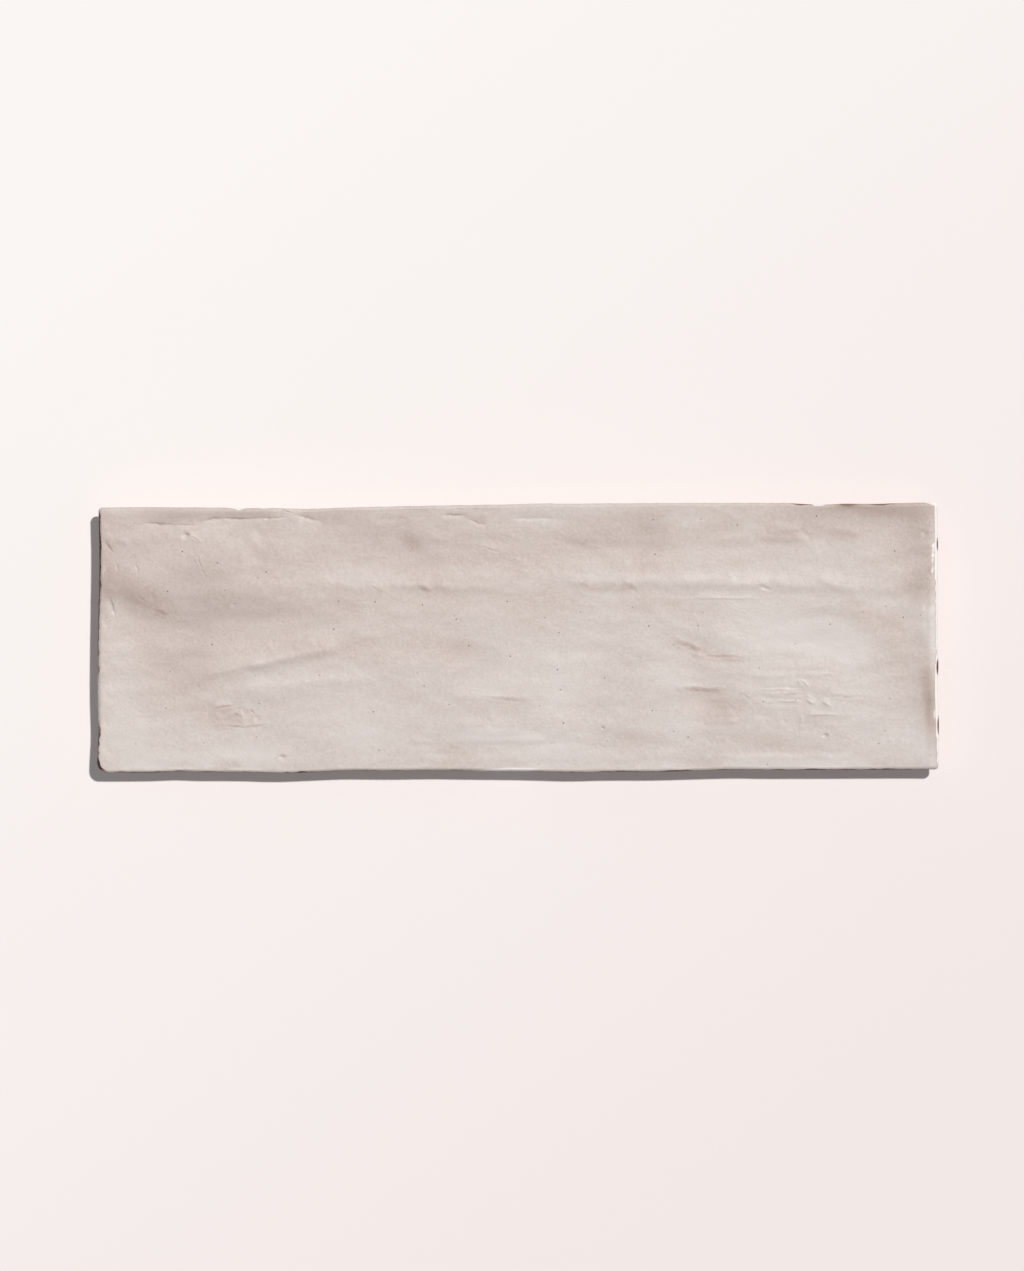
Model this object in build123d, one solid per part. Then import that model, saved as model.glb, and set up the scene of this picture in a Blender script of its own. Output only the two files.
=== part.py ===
from build123d import *

import os
from dataclasses import dataclass
from math import cos, exp, radians, sin

# A hand-pressed wall tile: one fired slab of red clay, glazed on its waved face.
# It lies on its keyed back. X runs east along its length, Y north across it, Z up
# through it. Sizes are in millimetres. A share runs from -1 to 1, west to east or
# south to north, over the whole length or width.

LENGTH = 200.0  # over the belly of the two end walls
WIDTH = 63.8  # over the belly of the two long walls
THICKNESS = 8.5  # from the bed to the mean level of the face

WALL_LEAN = 0.2  # how far the glazed rim stands inside the arris
BED_TUCK = 2.2  # how far the bed's outline is cut back inside the arris
ARRIS_HEIGHT = 6.9  # where the walls stand out most, over their cut-back bevel
RIM_ROUND = 0.6  # the glaze rolls over the rim with this radius
ARRIS_ROUND = 0.8  # the arris is worn to this radius
BED_CHAMFER = 0.4  # the bed's edge is fettled off

KEY_DEPTH = 0.7  # depth of the keying grooves in the back
KEY_WIDTH = 5.4  # width of a groove at the bed
KEY_RIB = 3.2  # the rib left between two grooves
KEY_RIM = 5.0  # the least plain rim round the grooves
KEY_DRAFT = 22.0  # degrees that a groove's wall leans, so that the die lets go

EDGE_PITCH = 4.0  # spacing of the points that an edge's curve runs through
CORNER_FADE = 6.0  # over this run from a corner an edge's bows die away
WAVE_PITCH_ALONG = 4.0  # spacing of the points that the face runs through
WAVE_PITCH_ACROSS = 1.4
FACE_OVERHANG = 4.0  # how far the face's surface is carried past the walls
HEADROOM = 3.0  # how far the raw slab stands above the face


@dataclass(frozen=True)
class Corner:
    """A rounded corner. Its pushes move it outward from its true place."""

    radius: float
    push_along: float
    push_across: float


@dataclass(frozen=True)
class Bow:
    """A stretch of an edge that stands proud of its straight line, or shy of it."""

    place: float  # share of the way along the edge
    reach: float  # share over which it dies away on either side
    push: float  # outward


@dataclass(frozen=True)
class Swell:
    """A rise or a hollow that the hand and the mould left in the face."""

    place: tuple[float, float]  # shares of the length and of the width
    reach: tuple[float, ...]  # along itself, to its left and, if not the same, right
    turn: float  # degrees from the length
    rise: float

    def height(self, x, y):
        """A bell curve that falls away along the swell and to its left and right."""
        run = x - self.place[0] * LENGTH / 2
        side = y - self.place[1] * WIDTH / 2
        turn = radians(self.turn)
        along = (run * cos(turn) + side * sin(turn)) / self.reach[0]
        across = side * cos(turn) - run * sin(turn)
        across /= self.reach[1] if across > 0 else self.reach[-1]
        return self.rise * exp(-along * along - across * across)


@dataclass(frozen=True)
class Side:
    """One edge of the tile, drawn anticlockwise from its first corner to its last."""

    heading: tuple[int, int]
    first: Corner
    last: Corner
    bows: tuple[Bow, ...]

    def points(self, inset):
        """Points that the edge runs through at an inset, between its two corners."""
        east, north = self.heading
        half_run, half_gap = LENGTH / 2, WIDTH / 2
        first, last = self.first, self.last
        run_pushes = first.push_along, last.push_along
        gap_pushes = first.push_across, last.push_across
        if north:
            half_run, half_gap = half_gap, half_run
            run_pushes, gap_pushes = gap_pushes, run_pushes
        start = inset + first.radius - half_run - run_pushes[0]
        finish = half_run + run_pushes[1] - last.radius - inset
        spans = round(2 * half_run / EDGE_PITCH)
        points = []
        for step in range(spans + 1):
            part = step / spans
            run = start + (finish - start) * part
            gap = half_gap - inset + gap_pushes[0] * (1 - part) + gap_pushes[1] * part
            fade = min(1, (run - start) / CORNER_FADE, (finish - run) / CORNER_FADE)
            gap += fade * self.bow_push((east + north) * run / half_run)
            points.append((east * run + north * gap, north * run - east * gap))
        return points

    def bow_push(self, share):
        """How far all the bows together push the edge outward at a share of its run."""
        return sum(b.push * exp(-(((share - b.place) / b.reach) ** 2)) for b in self.bows)


NORTH_WEST = Corner(1.0, 0.00, -0.46)
NORTH_EAST = Corner(1.0, 0.35, -0.15)
SOUTH_EAST = Corner(1.0, 0.35, 0.10)
SOUTH_WEST = Corner(2.5, 0.60, 0.00)

NORTH_BOWS = (
    Bow(-0.90, 0.08, 0.10),
    Bow(-0.665, 0.025, -0.20),  # the nick in the north edge
    Bow(-0.50, 0.22, -0.38),
    Bow(-0.50, 0.05, -0.22),
    Bow(0.05, 0.05, 0.16),
    Bow(0.30, 0.40, 0.42),
    Bow(0.72, 0.05, -0.38),
    Bow(0.84, 0.06, -0.24),
)
SOUTH_BOWS = (
    Bow(-0.80, 0.04, -0.22),
    Bow(-0.56, 0.07, 0.28),
    Bow(-0.39, 0.07, -0.26),
    Bow(-0.20, 0.12, -0.24),
    Bow(0.14, 0.09, 0.38),
    Bow(0.32, 0.10, 0.28),
    Bow(0.53, 0.06, -0.14),
)
WEST_BOWS = (
    Bow(-0.66, 0.20, -0.40),
    Bow(0.56, 0.34, -0.46),
)
EAST_BOWS = (
    Bow(-0.68, 0.12, 0.10),
    Bow(-0.40, 0.16, -0.08),
    Bow(0.26, 0.20, -0.10),
    Bow(0.68, 0.12, 0.06),
)

SIDES = (
    Side((1, 0), SOUTH_WEST, SOUTH_EAST, SOUTH_BOWS),
    Side((0, 1), SOUTH_EAST, NORTH_EAST, EAST_BOWS),
    Side((-1, 0), NORTH_EAST, NORTH_WEST, NORTH_BOWS),
    Side((0, -1), NORTH_WEST, SOUTH_WEST, WEST_BOWS),
)

SWELLS = (
    Swell((-0.05, 1.00), (105.0, 3.4), 0.0, 0.30),  # lip along the north edge
    Swell((-0.76, 0.95), (24.0, 2.0, 1.6), 0.0, 0.22),  # the lip folded back on itself
    Swell((0.88, 0.99), (15.0, 2.6), -6.0, 0.24),
    Swell((0.98, -0.06), (34.0, 3.2, 1.7), 90.0, 0.42),  # lip along the east edge
    Swell((-0.99, 0.09), (26.0, 1.6, 3.2), 90.0, 0.22),  # lip along the west edge
    Swell((0.25, 0.66), (80.0, 4.2), 0.0, -0.14),  # trough between lip and ridge
    Swell((-0.16, 0.40), (27.0, 2.8, 1.6), 1.0, 0.13),  # the long ridge's west part
    Swell((0.45, 0.41), (37.0, 3.0, 1.6), -2.0, 0.19),  # and its east part
    Swell((-0.86, 0.39), (34.0, 13.0, 4.8), -3.0, 0.52),  # shelf over the west hollow
    Swell((-0.93, 0.39), (9.0, 5.0, 3.0), -33.0, 0.18),  # where the shelf meets the edge
    Swell((-0.80, 0.38), (5.0, 4.5), 0.0, -0.14),
    Swell((-0.76, 0.09), (30.0, 5.0), -3.0, -0.36),  # the west hollow
    Swell((-0.60, -0.17), (18.0, 2.6, 2.0), 13.0, 0.30),  # the slanting ridge
    Swell((-0.52, -0.36), (17.0, 2.0, 3.2), 5.0, 0.16),
    Swell((-0.80, -0.34), (9.0, 6.0), 60.0, -0.14),
    Swell((-0.65, -0.58), (9.0, 4.0), 8.0, -0.16),  # a thumb print
    Swell((-0.61, 0.66), (8.0, 3.0), 75.0, -0.14),
    Swell((-0.14, -0.09), (13.0, 4.0), -17.0, -0.16),  # the slanting hollow
    Swell((-0.25, 0.68), (5.0, 2.6), -35.0, -0.20),
    Swell((0.46, -0.11), (8.0, 2.6, 1.8), -14.0, -0.20),
    Swell((0.46, -0.49), (7.0, 3.4, 3.0), -4.0, -0.26),
    Swell((0.66, 0.04), (15.0, 6.0), -14.0, -0.24),  # the east hollow
    Swell((0.84, 0.09), (12.0, 3.0), -38.0, 0.10),
    Swell((0.68, -0.38), (13.0, 5.0), 0.0, 0.18),  # where the hand wiped last
    Swell((0.05, -0.66), (60.0, 3.2), 1.0, 0.14),
    Swell((-0.16, -0.80), (14.0, 2.4), -2.0, -0.12),
    Swell((0.28, -0.75), (9.0, 2.8), -6.0, -0.12),
)


def outline(inset, height):
    """The closed outline at a height: four wandering edges and four round corners."""
    edges = []
    for number, side in enumerate(SIDES):
        points = side.points(inset)
        next_points = SIDES[(number + 1) % len(SIDES)].points(inset)
        edges.append(Spline(*points, tangents=(side.heading, side.heading)))
        edges.append(TangentArc(points[-1], next_points[0], tangent=side.heading))
    return Pos(0, 0, height) * Wire(edges)


def slab():
    """The raw slab: the bevel up to the arris, and the upright band over it."""
    band = THICKNESS - ARRIS_HEIGHT
    sections = (
        outline(BED_TUCK, 0),
        outline(0, ARRIS_HEIGHT),
        outline(WALL_LEAN * (band + HEADROOM) / band, THICKNESS + HEADROOM),
    )
    return loft([Face(section) for section in sections], ruled=True)


def face_height(x, y):
    """Height of the glazed face over the bed, with every swell added up."""
    return THICKNESS + sum(swell.height(x, y) for swell in SWELLS)


def spaced(reach, pitch):
    """Evenly spaced places from -reach to reach, about a pitch apart."""
    spans = round(2 * reach / pitch)
    return [-reach + 2 * reach * step / spans for step in range(spans + 1)]


def waved_face():
    """The face as one smooth surface through a net of points, wider than the slab."""
    columns = spaced(LENGTH / 2 + FACE_OVERHANG, WAVE_PITCH_ALONG)
    rows = spaced(WIDTH / 2 + FACE_OVERHANG, WAVE_PITCH_ACROSS)
    net = [[(x, y, face_height(x, y)) for x in columns] for y in rows]
    return Face.make_surface_from_array_of_points(net)


def key_grooves():
    """The grooves in the back that key the tile to its adhesive."""
    plain = 2 * (BED_TUCK + KEY_RIM)
    pitch = KEY_WIDTH + KEY_RIB
    count = int((WIDTH - plain + KEY_RIB) // pitch)
    slots = GridLocations(0, pitch, 1, count) * SlotOverall(LENGTH - plain, KEY_WIDTH)
    return extrude(Sketch() + slots, KEY_DEPTH, taper=KEY_DRAFT)


def glazed_tile():
    """The tile: slab, waved face, worn arris, rolled rim, fettled bed, keyed back."""
    tile = slab()
    tile -= extrude(waved_face(), 2 * HEADROOM, dir=(0, 0, 1))
    arris = tile.edges().group_by(Axis.Z)[2]  # over the bed's ring and the bevel's
    tile = fillet(arris, ARRIS_ROUND)
    tile = fillet(tile.faces().sort_by(Axis.Z)[-1].edges(), RIM_ROUND)
    tile = chamfer(tile.faces().sort_by(Axis.Z)[0].edges(), BED_CHAMFER)
    tile -= key_grooves()
    return tile


os.makedirs("parts", exist_ok=True)
export_step(glazed_tile(), "parts/glazed_tile.step")
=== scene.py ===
# A hand-pressed wall tile with a matte glaze, lying face up on a pale studio floor.
# Sizes are in millimetres. They become metres where a mesh or the camera is made, and
# where the finish hands over its relief.
# X runs east along the tile, Y north across it, and Z up through it.

import logging
from dataclasses import dataclass, field
from enum import Enum
from math import atan2, hypot, pi, radians, tan
from typing import Any, Sequence, Union

import bpy
import numpy as np
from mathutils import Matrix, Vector
from mathutils.geometry import tessellate_polygon


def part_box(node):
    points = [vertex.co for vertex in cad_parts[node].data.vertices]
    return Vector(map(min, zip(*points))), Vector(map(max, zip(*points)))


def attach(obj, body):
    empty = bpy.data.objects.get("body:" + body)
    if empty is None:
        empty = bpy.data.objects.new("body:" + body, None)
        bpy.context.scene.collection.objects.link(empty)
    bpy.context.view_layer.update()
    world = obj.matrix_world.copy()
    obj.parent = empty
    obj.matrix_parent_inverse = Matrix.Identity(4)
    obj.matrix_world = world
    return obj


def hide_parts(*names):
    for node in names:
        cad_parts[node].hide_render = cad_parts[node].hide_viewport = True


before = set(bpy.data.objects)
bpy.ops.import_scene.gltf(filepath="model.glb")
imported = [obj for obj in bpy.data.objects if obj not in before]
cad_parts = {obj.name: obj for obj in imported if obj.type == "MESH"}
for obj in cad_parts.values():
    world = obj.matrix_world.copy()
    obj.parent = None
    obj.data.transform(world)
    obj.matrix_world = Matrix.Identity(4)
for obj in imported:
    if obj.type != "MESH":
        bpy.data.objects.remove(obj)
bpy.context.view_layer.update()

NODE = "glazed_tile"
BODY = "root"
METRES = 0.001  # one millimetre in metres
FAR = 9.0  # past every distance that the finish asks about

Array = np.ndarray
Point = tuple[float, float]
Colour = tuple[float, float, float]
log = logging.getLogger("tile")


# Relief: what the mould, the hand and the kiln left in the face


def smooth_step(share: Array) -> Array:
    """Eases from 0 to 1 with level ends: three times the square less twice the cube.

    Args:
        share: Values, clipped to the range from 0 to 1.

    Returns:
        The eased values.
    """
    share = np.clip(share, 0.0, 1.0)
    return share * share * (3.0 - 2.0 * share)


RIPPLE_SPREAD = 0.7, 1.5  # how many waves fit in the mean length, at least and at most
RIPPLE_PEAK = 1.6  # how many standard deviations a height of 1 stands for


def ripple(x: Array, y: Array, wavelength: Point, seed: int, count: int = 28) -> Array:
    """Soft irregular waves: the sum of sine waves of random phase and near-equal length.

    Args:
        x: Places along the tile.
        y: Places across the tile.
        wavelength: Mean length of a wave along X and along Y.
        seed: Seed of the random draws.
        count: How many sine waves are added.

    Returns:
        Heights that mostly lie between -1 and 1.
    """
    draw = np.random.default_rng(seed)
    total = np.zeros(np.broadcast(x, y).shape)
    for heading, stretch, phase in zip(
        draw.uniform(0.0, 2.0 * pi, count),
        draw.uniform(*RIPPLE_SPREAD, count),
        draw.uniform(0.0, 2.0 * pi, count),
    ):
        turn_x = 2.0 * pi * np.cos(heading) * stretch / wavelength[0]
        turn_y = 2.0 * pi * np.sin(heading) * stretch / wavelength[1]
        total += np.sin(turn_x * x + turn_y * y + phase)
    return total * np.sqrt(2.0 / count) / RIPPLE_PEAK


@dataclass(frozen=True)
class Swell:
    """A rise or a hollow in the face, or a stain in its glaze.

    The height falls away from the centre as a bell curve. Its reaches are the one
    along the swell's own line, the one to its left and, where that differs, the one
    to its right.
    """

    centre: Point
    reach: tuple[float, ...]
    turn: float
    rise: float

    def height(self, x: Array, y: Array) -> Array:
        """The bell curve's height.

        Args:
            x: Places along the tile.
            y: Places across the tile.

        Returns:
            The heights, positive for a rise.
        """
        east, north = x - self.centre[0], y - self.centre[1]
        turn = radians(self.turn)
        along = (east * np.cos(turn) + north * np.sin(turn)) / self.reach[0]
        across = north * np.cos(turn) - east * np.sin(turn)
        across = across / np.where(across > 0.0, self.reach[1], self.reach[-1])
        return self.rise * np.exp(-along * along - across * across)


WANDER_LENGTH = 9.0, 9.0  # mean length of the waves in a wandering crease
WANDER_WAVES = 6
WANDER_SEED = 7.0, 3.0  # what a place along and across the tile adds to the seed


@dataclass(frozen=True)
class Crease:
    """A narrow ridge or groove along a bent line, steeper on one side than the other.

    Across the line the height is a bell curve with one reach on its left and another
    on its right. Along the line it eases in and out over its soft ends. The bend is
    how far its middle stands to the left, and a wandering line strays by a ripple,
    whose seed comes from the place where it starts.
    """

    start: Point
    finish: Point
    rise: float
    left: float
    right: float
    bend: float = 0.0
    wander: float = 0.0
    soft: float = 4.0

    def height(self, x: Array, y: Array) -> Array:
        """The crease's height.

        Args:
            x: Places along the tile.
            y: Places across the tile.

        Returns:
            The heights, positive for a ridge.
        """
        east, north = self.finish[0] - self.start[0], self.finish[1] - self.start[1]
        length = hypot(east, north)
        run = ((x - self.start[0]) * east + (y - self.start[1]) * north) / length
        side = ((y - self.start[1]) * east - (x - self.start[0]) * north) / length
        share = np.clip(run / length, 0.0, 1.0)
        side = side - 4.0 * self.bend * share * (1.0 - share)
        if self.wander:
            seed = int(abs(self.start[0] * WANDER_SEED[0] + self.start[1] * WANDER_SEED[1])) + 1
            stray = ripple(run, 0.0 * run, WANDER_LENGTH, seed, WANDER_WAVES)
            side = side - self.wander * stray
        reach = np.where(side > 0.0, self.left, self.right)
        ends = smooth_step(run / self.soft) * smooth_step((length - run) / self.soft)
        return self.rise * ends * np.exp(-((side / reach) ** 2))


@dataclass(frozen=True)
class Pit:
    """A small crater with a raised lip: a bell curve times its squared radius less one."""

    centre: Point
    radius: float
    depth: float

    def height(self, x: Array, y: Array) -> Array:
        """The crater's height.

        Args:
            x: Places along the tile.
            y: Places across the tile.

        Returns:
            The heights, negative in the pit.
        """
        out = ((x - self.centre[0]) ** 2 + (y - self.centre[1]) ** 2) / self.radius**2
        return self.depth * (out - 1.0) * np.exp(-out)


# The least and the most of what a tick draws: its place in its own share of the line,
# its size and rise against the row's, and its turn in degrees off the row's.
TICK_PLACE = 0.1, 0.9
TICK_SIZE = 0.6, 1.3
TICK_RISE = 0.4, 1.2
TICK_TURN = -12.0, 12.0


@dataclass(frozen=True)
class Ticks:
    """A row of small marks along a line, set askew at random, as a rib leaves behind."""

    start: Point
    finish: Point
    count: int
    reach: Point
    turn: float
    rise: float
    stray: float
    seed: int

    def swells(self) -> list[Swell]:
        """The marks, one by one.

        Returns:
            One small swell for each mark.
        """
        draw = np.random.default_rng(self.seed)
        east, north = self.finish[0] - self.start[0], self.finish[1] - self.start[1]
        marks = []
        for number in range(self.count):
            share = (number + draw.uniform(*TICK_PLACE)) / self.count
            stray = draw.uniform(-self.stray, self.stray)
            centre = self.start[0] + east * share, self.start[1] + north * share + stray
            size = draw.uniform(*TICK_SIZE)
            reach = self.reach[0] * size, self.reach[1] * size
            turn = self.turn + draw.uniform(*TICK_TURN)
            marks.append(Swell(centre, reach, turn, self.rise * draw.uniform(*TICK_RISE)))
        return marks

    def height(self, x: Array, y: Array) -> Array:
        """The marks' heights, added up.

        Args:
            x: Places along the tile.
            y: Places across the tile.

        Returns:
            The heights.
        """
        return added_up(self.swells(), x, y)


@dataclass(frozen=True)
class Unrest:
    """Soft irregular waves all over the face."""

    rise: float
    wavelength: Point
    seed: int

    def height(self, x: Array, y: Array) -> Array:
        """The waves' height at each place."""
        return self.rise * ripple(x, y, self.wavelength, self.seed)


Feature = Union[Swell, Crease, Pit, Ticks, Unrest]


def added_up(features: Sequence[Feature], x: Array, y: Array, level: float = 0.0) -> Array:
    """A level and the heights of all the features on it.

    Args:
        features: The features.
        x: Places along the tile.
        y: Places across the tile.
        level: What they are added to.

    Returns:
        The sums, one for each place.
    """
    total = np.full(np.broadcast(x, y).shape, level)
    for feature in features:
        total += feature.height(x, y)
    return total


SWELLS: tuple[Feature, ...] = (
    Swell((-5, 31.9), (105, 3.4), 0, 0.30),  # lip along the north edge
    Swell((-76, 30.3), (24, 2.0, 1.6), 0, 0.22),  # the lip folded back on itself
    Swell((88, 31.6), (15, 2.6), -6, 0.24),
    Swell((98.2, -2.0), (34, 3.2, 1.7), 90, 0.42),  # lip along the east edge
    Swell((-99.4, 3.0), (26, 1.6, 3.2), 90, 0.22),  # lip along the west edge
    Swell((25, 21.0), (80, 4.2), 0, -0.14),  # trough between lip and ridge
    Swell((-16, 12.8), (27, 2.8, 1.6), 1, 0.13),  # the long ridge's west part
    Swell((45, 13.0), (37, 3.0, 1.6), -2, 0.19),  # and its east part
    Swell((-86, 12.6), (34, 13.0, 4.8), -3, 0.52),  # shelf over the west hollow
    Swell((-93, 12.4), (9, 5.0, 3.0), -33, 0.18),  # where the shelf meets the edge
    Swell((-80, 12.0), (5, 4.5), 0, -0.14),
    Swell((-76, 3.0), (30, 5.0), -3, -0.36),  # the west hollow
    Swell((-60, -5.4), (18, 2.6, 2.0), 13, 0.30),  # the slanting ridge
    Swell((-52, -11.6), (17, 2.0, 3.2), 5, 0.16), Swell((-80, -10.8), (9, 6.0), 60, -0.14),
    Swell((-65, -18.5), (9, 4.0), 8, -0.16),  # a thumb print
    Swell((-61, 21.0), (8, 3.0), 75, -0.14),
    Swell((-14, -3.0), (13, 4.0), -17, -0.16),  # the slanting hollow
    Swell((-25, 21.6), (5, 2.6), -35, -0.20), Swell((46, -3.6), (8, 2.6, 1.8), -14, -0.20),
    Swell((46, -15.5), (7, 3.4, 3.0), -4, -0.26),
    Swell((66, 1.2), (15, 6.0), -14, -0.24),  # the east hollow
    Swell((84, 3.0), (12, 3.0), -38, 0.10),
    Swell((68, -12.0), (13, 5.0), 0, 0.18),  # where the hand wiped last
    Swell((5, -21.0), (60, 3.2), 1, 0.14), Swell((-16, -25.6), (14, 2.4), -2, -0.12),
    Swell((28, -23.8), (9, 2.8), -6, -0.12),
)

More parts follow.
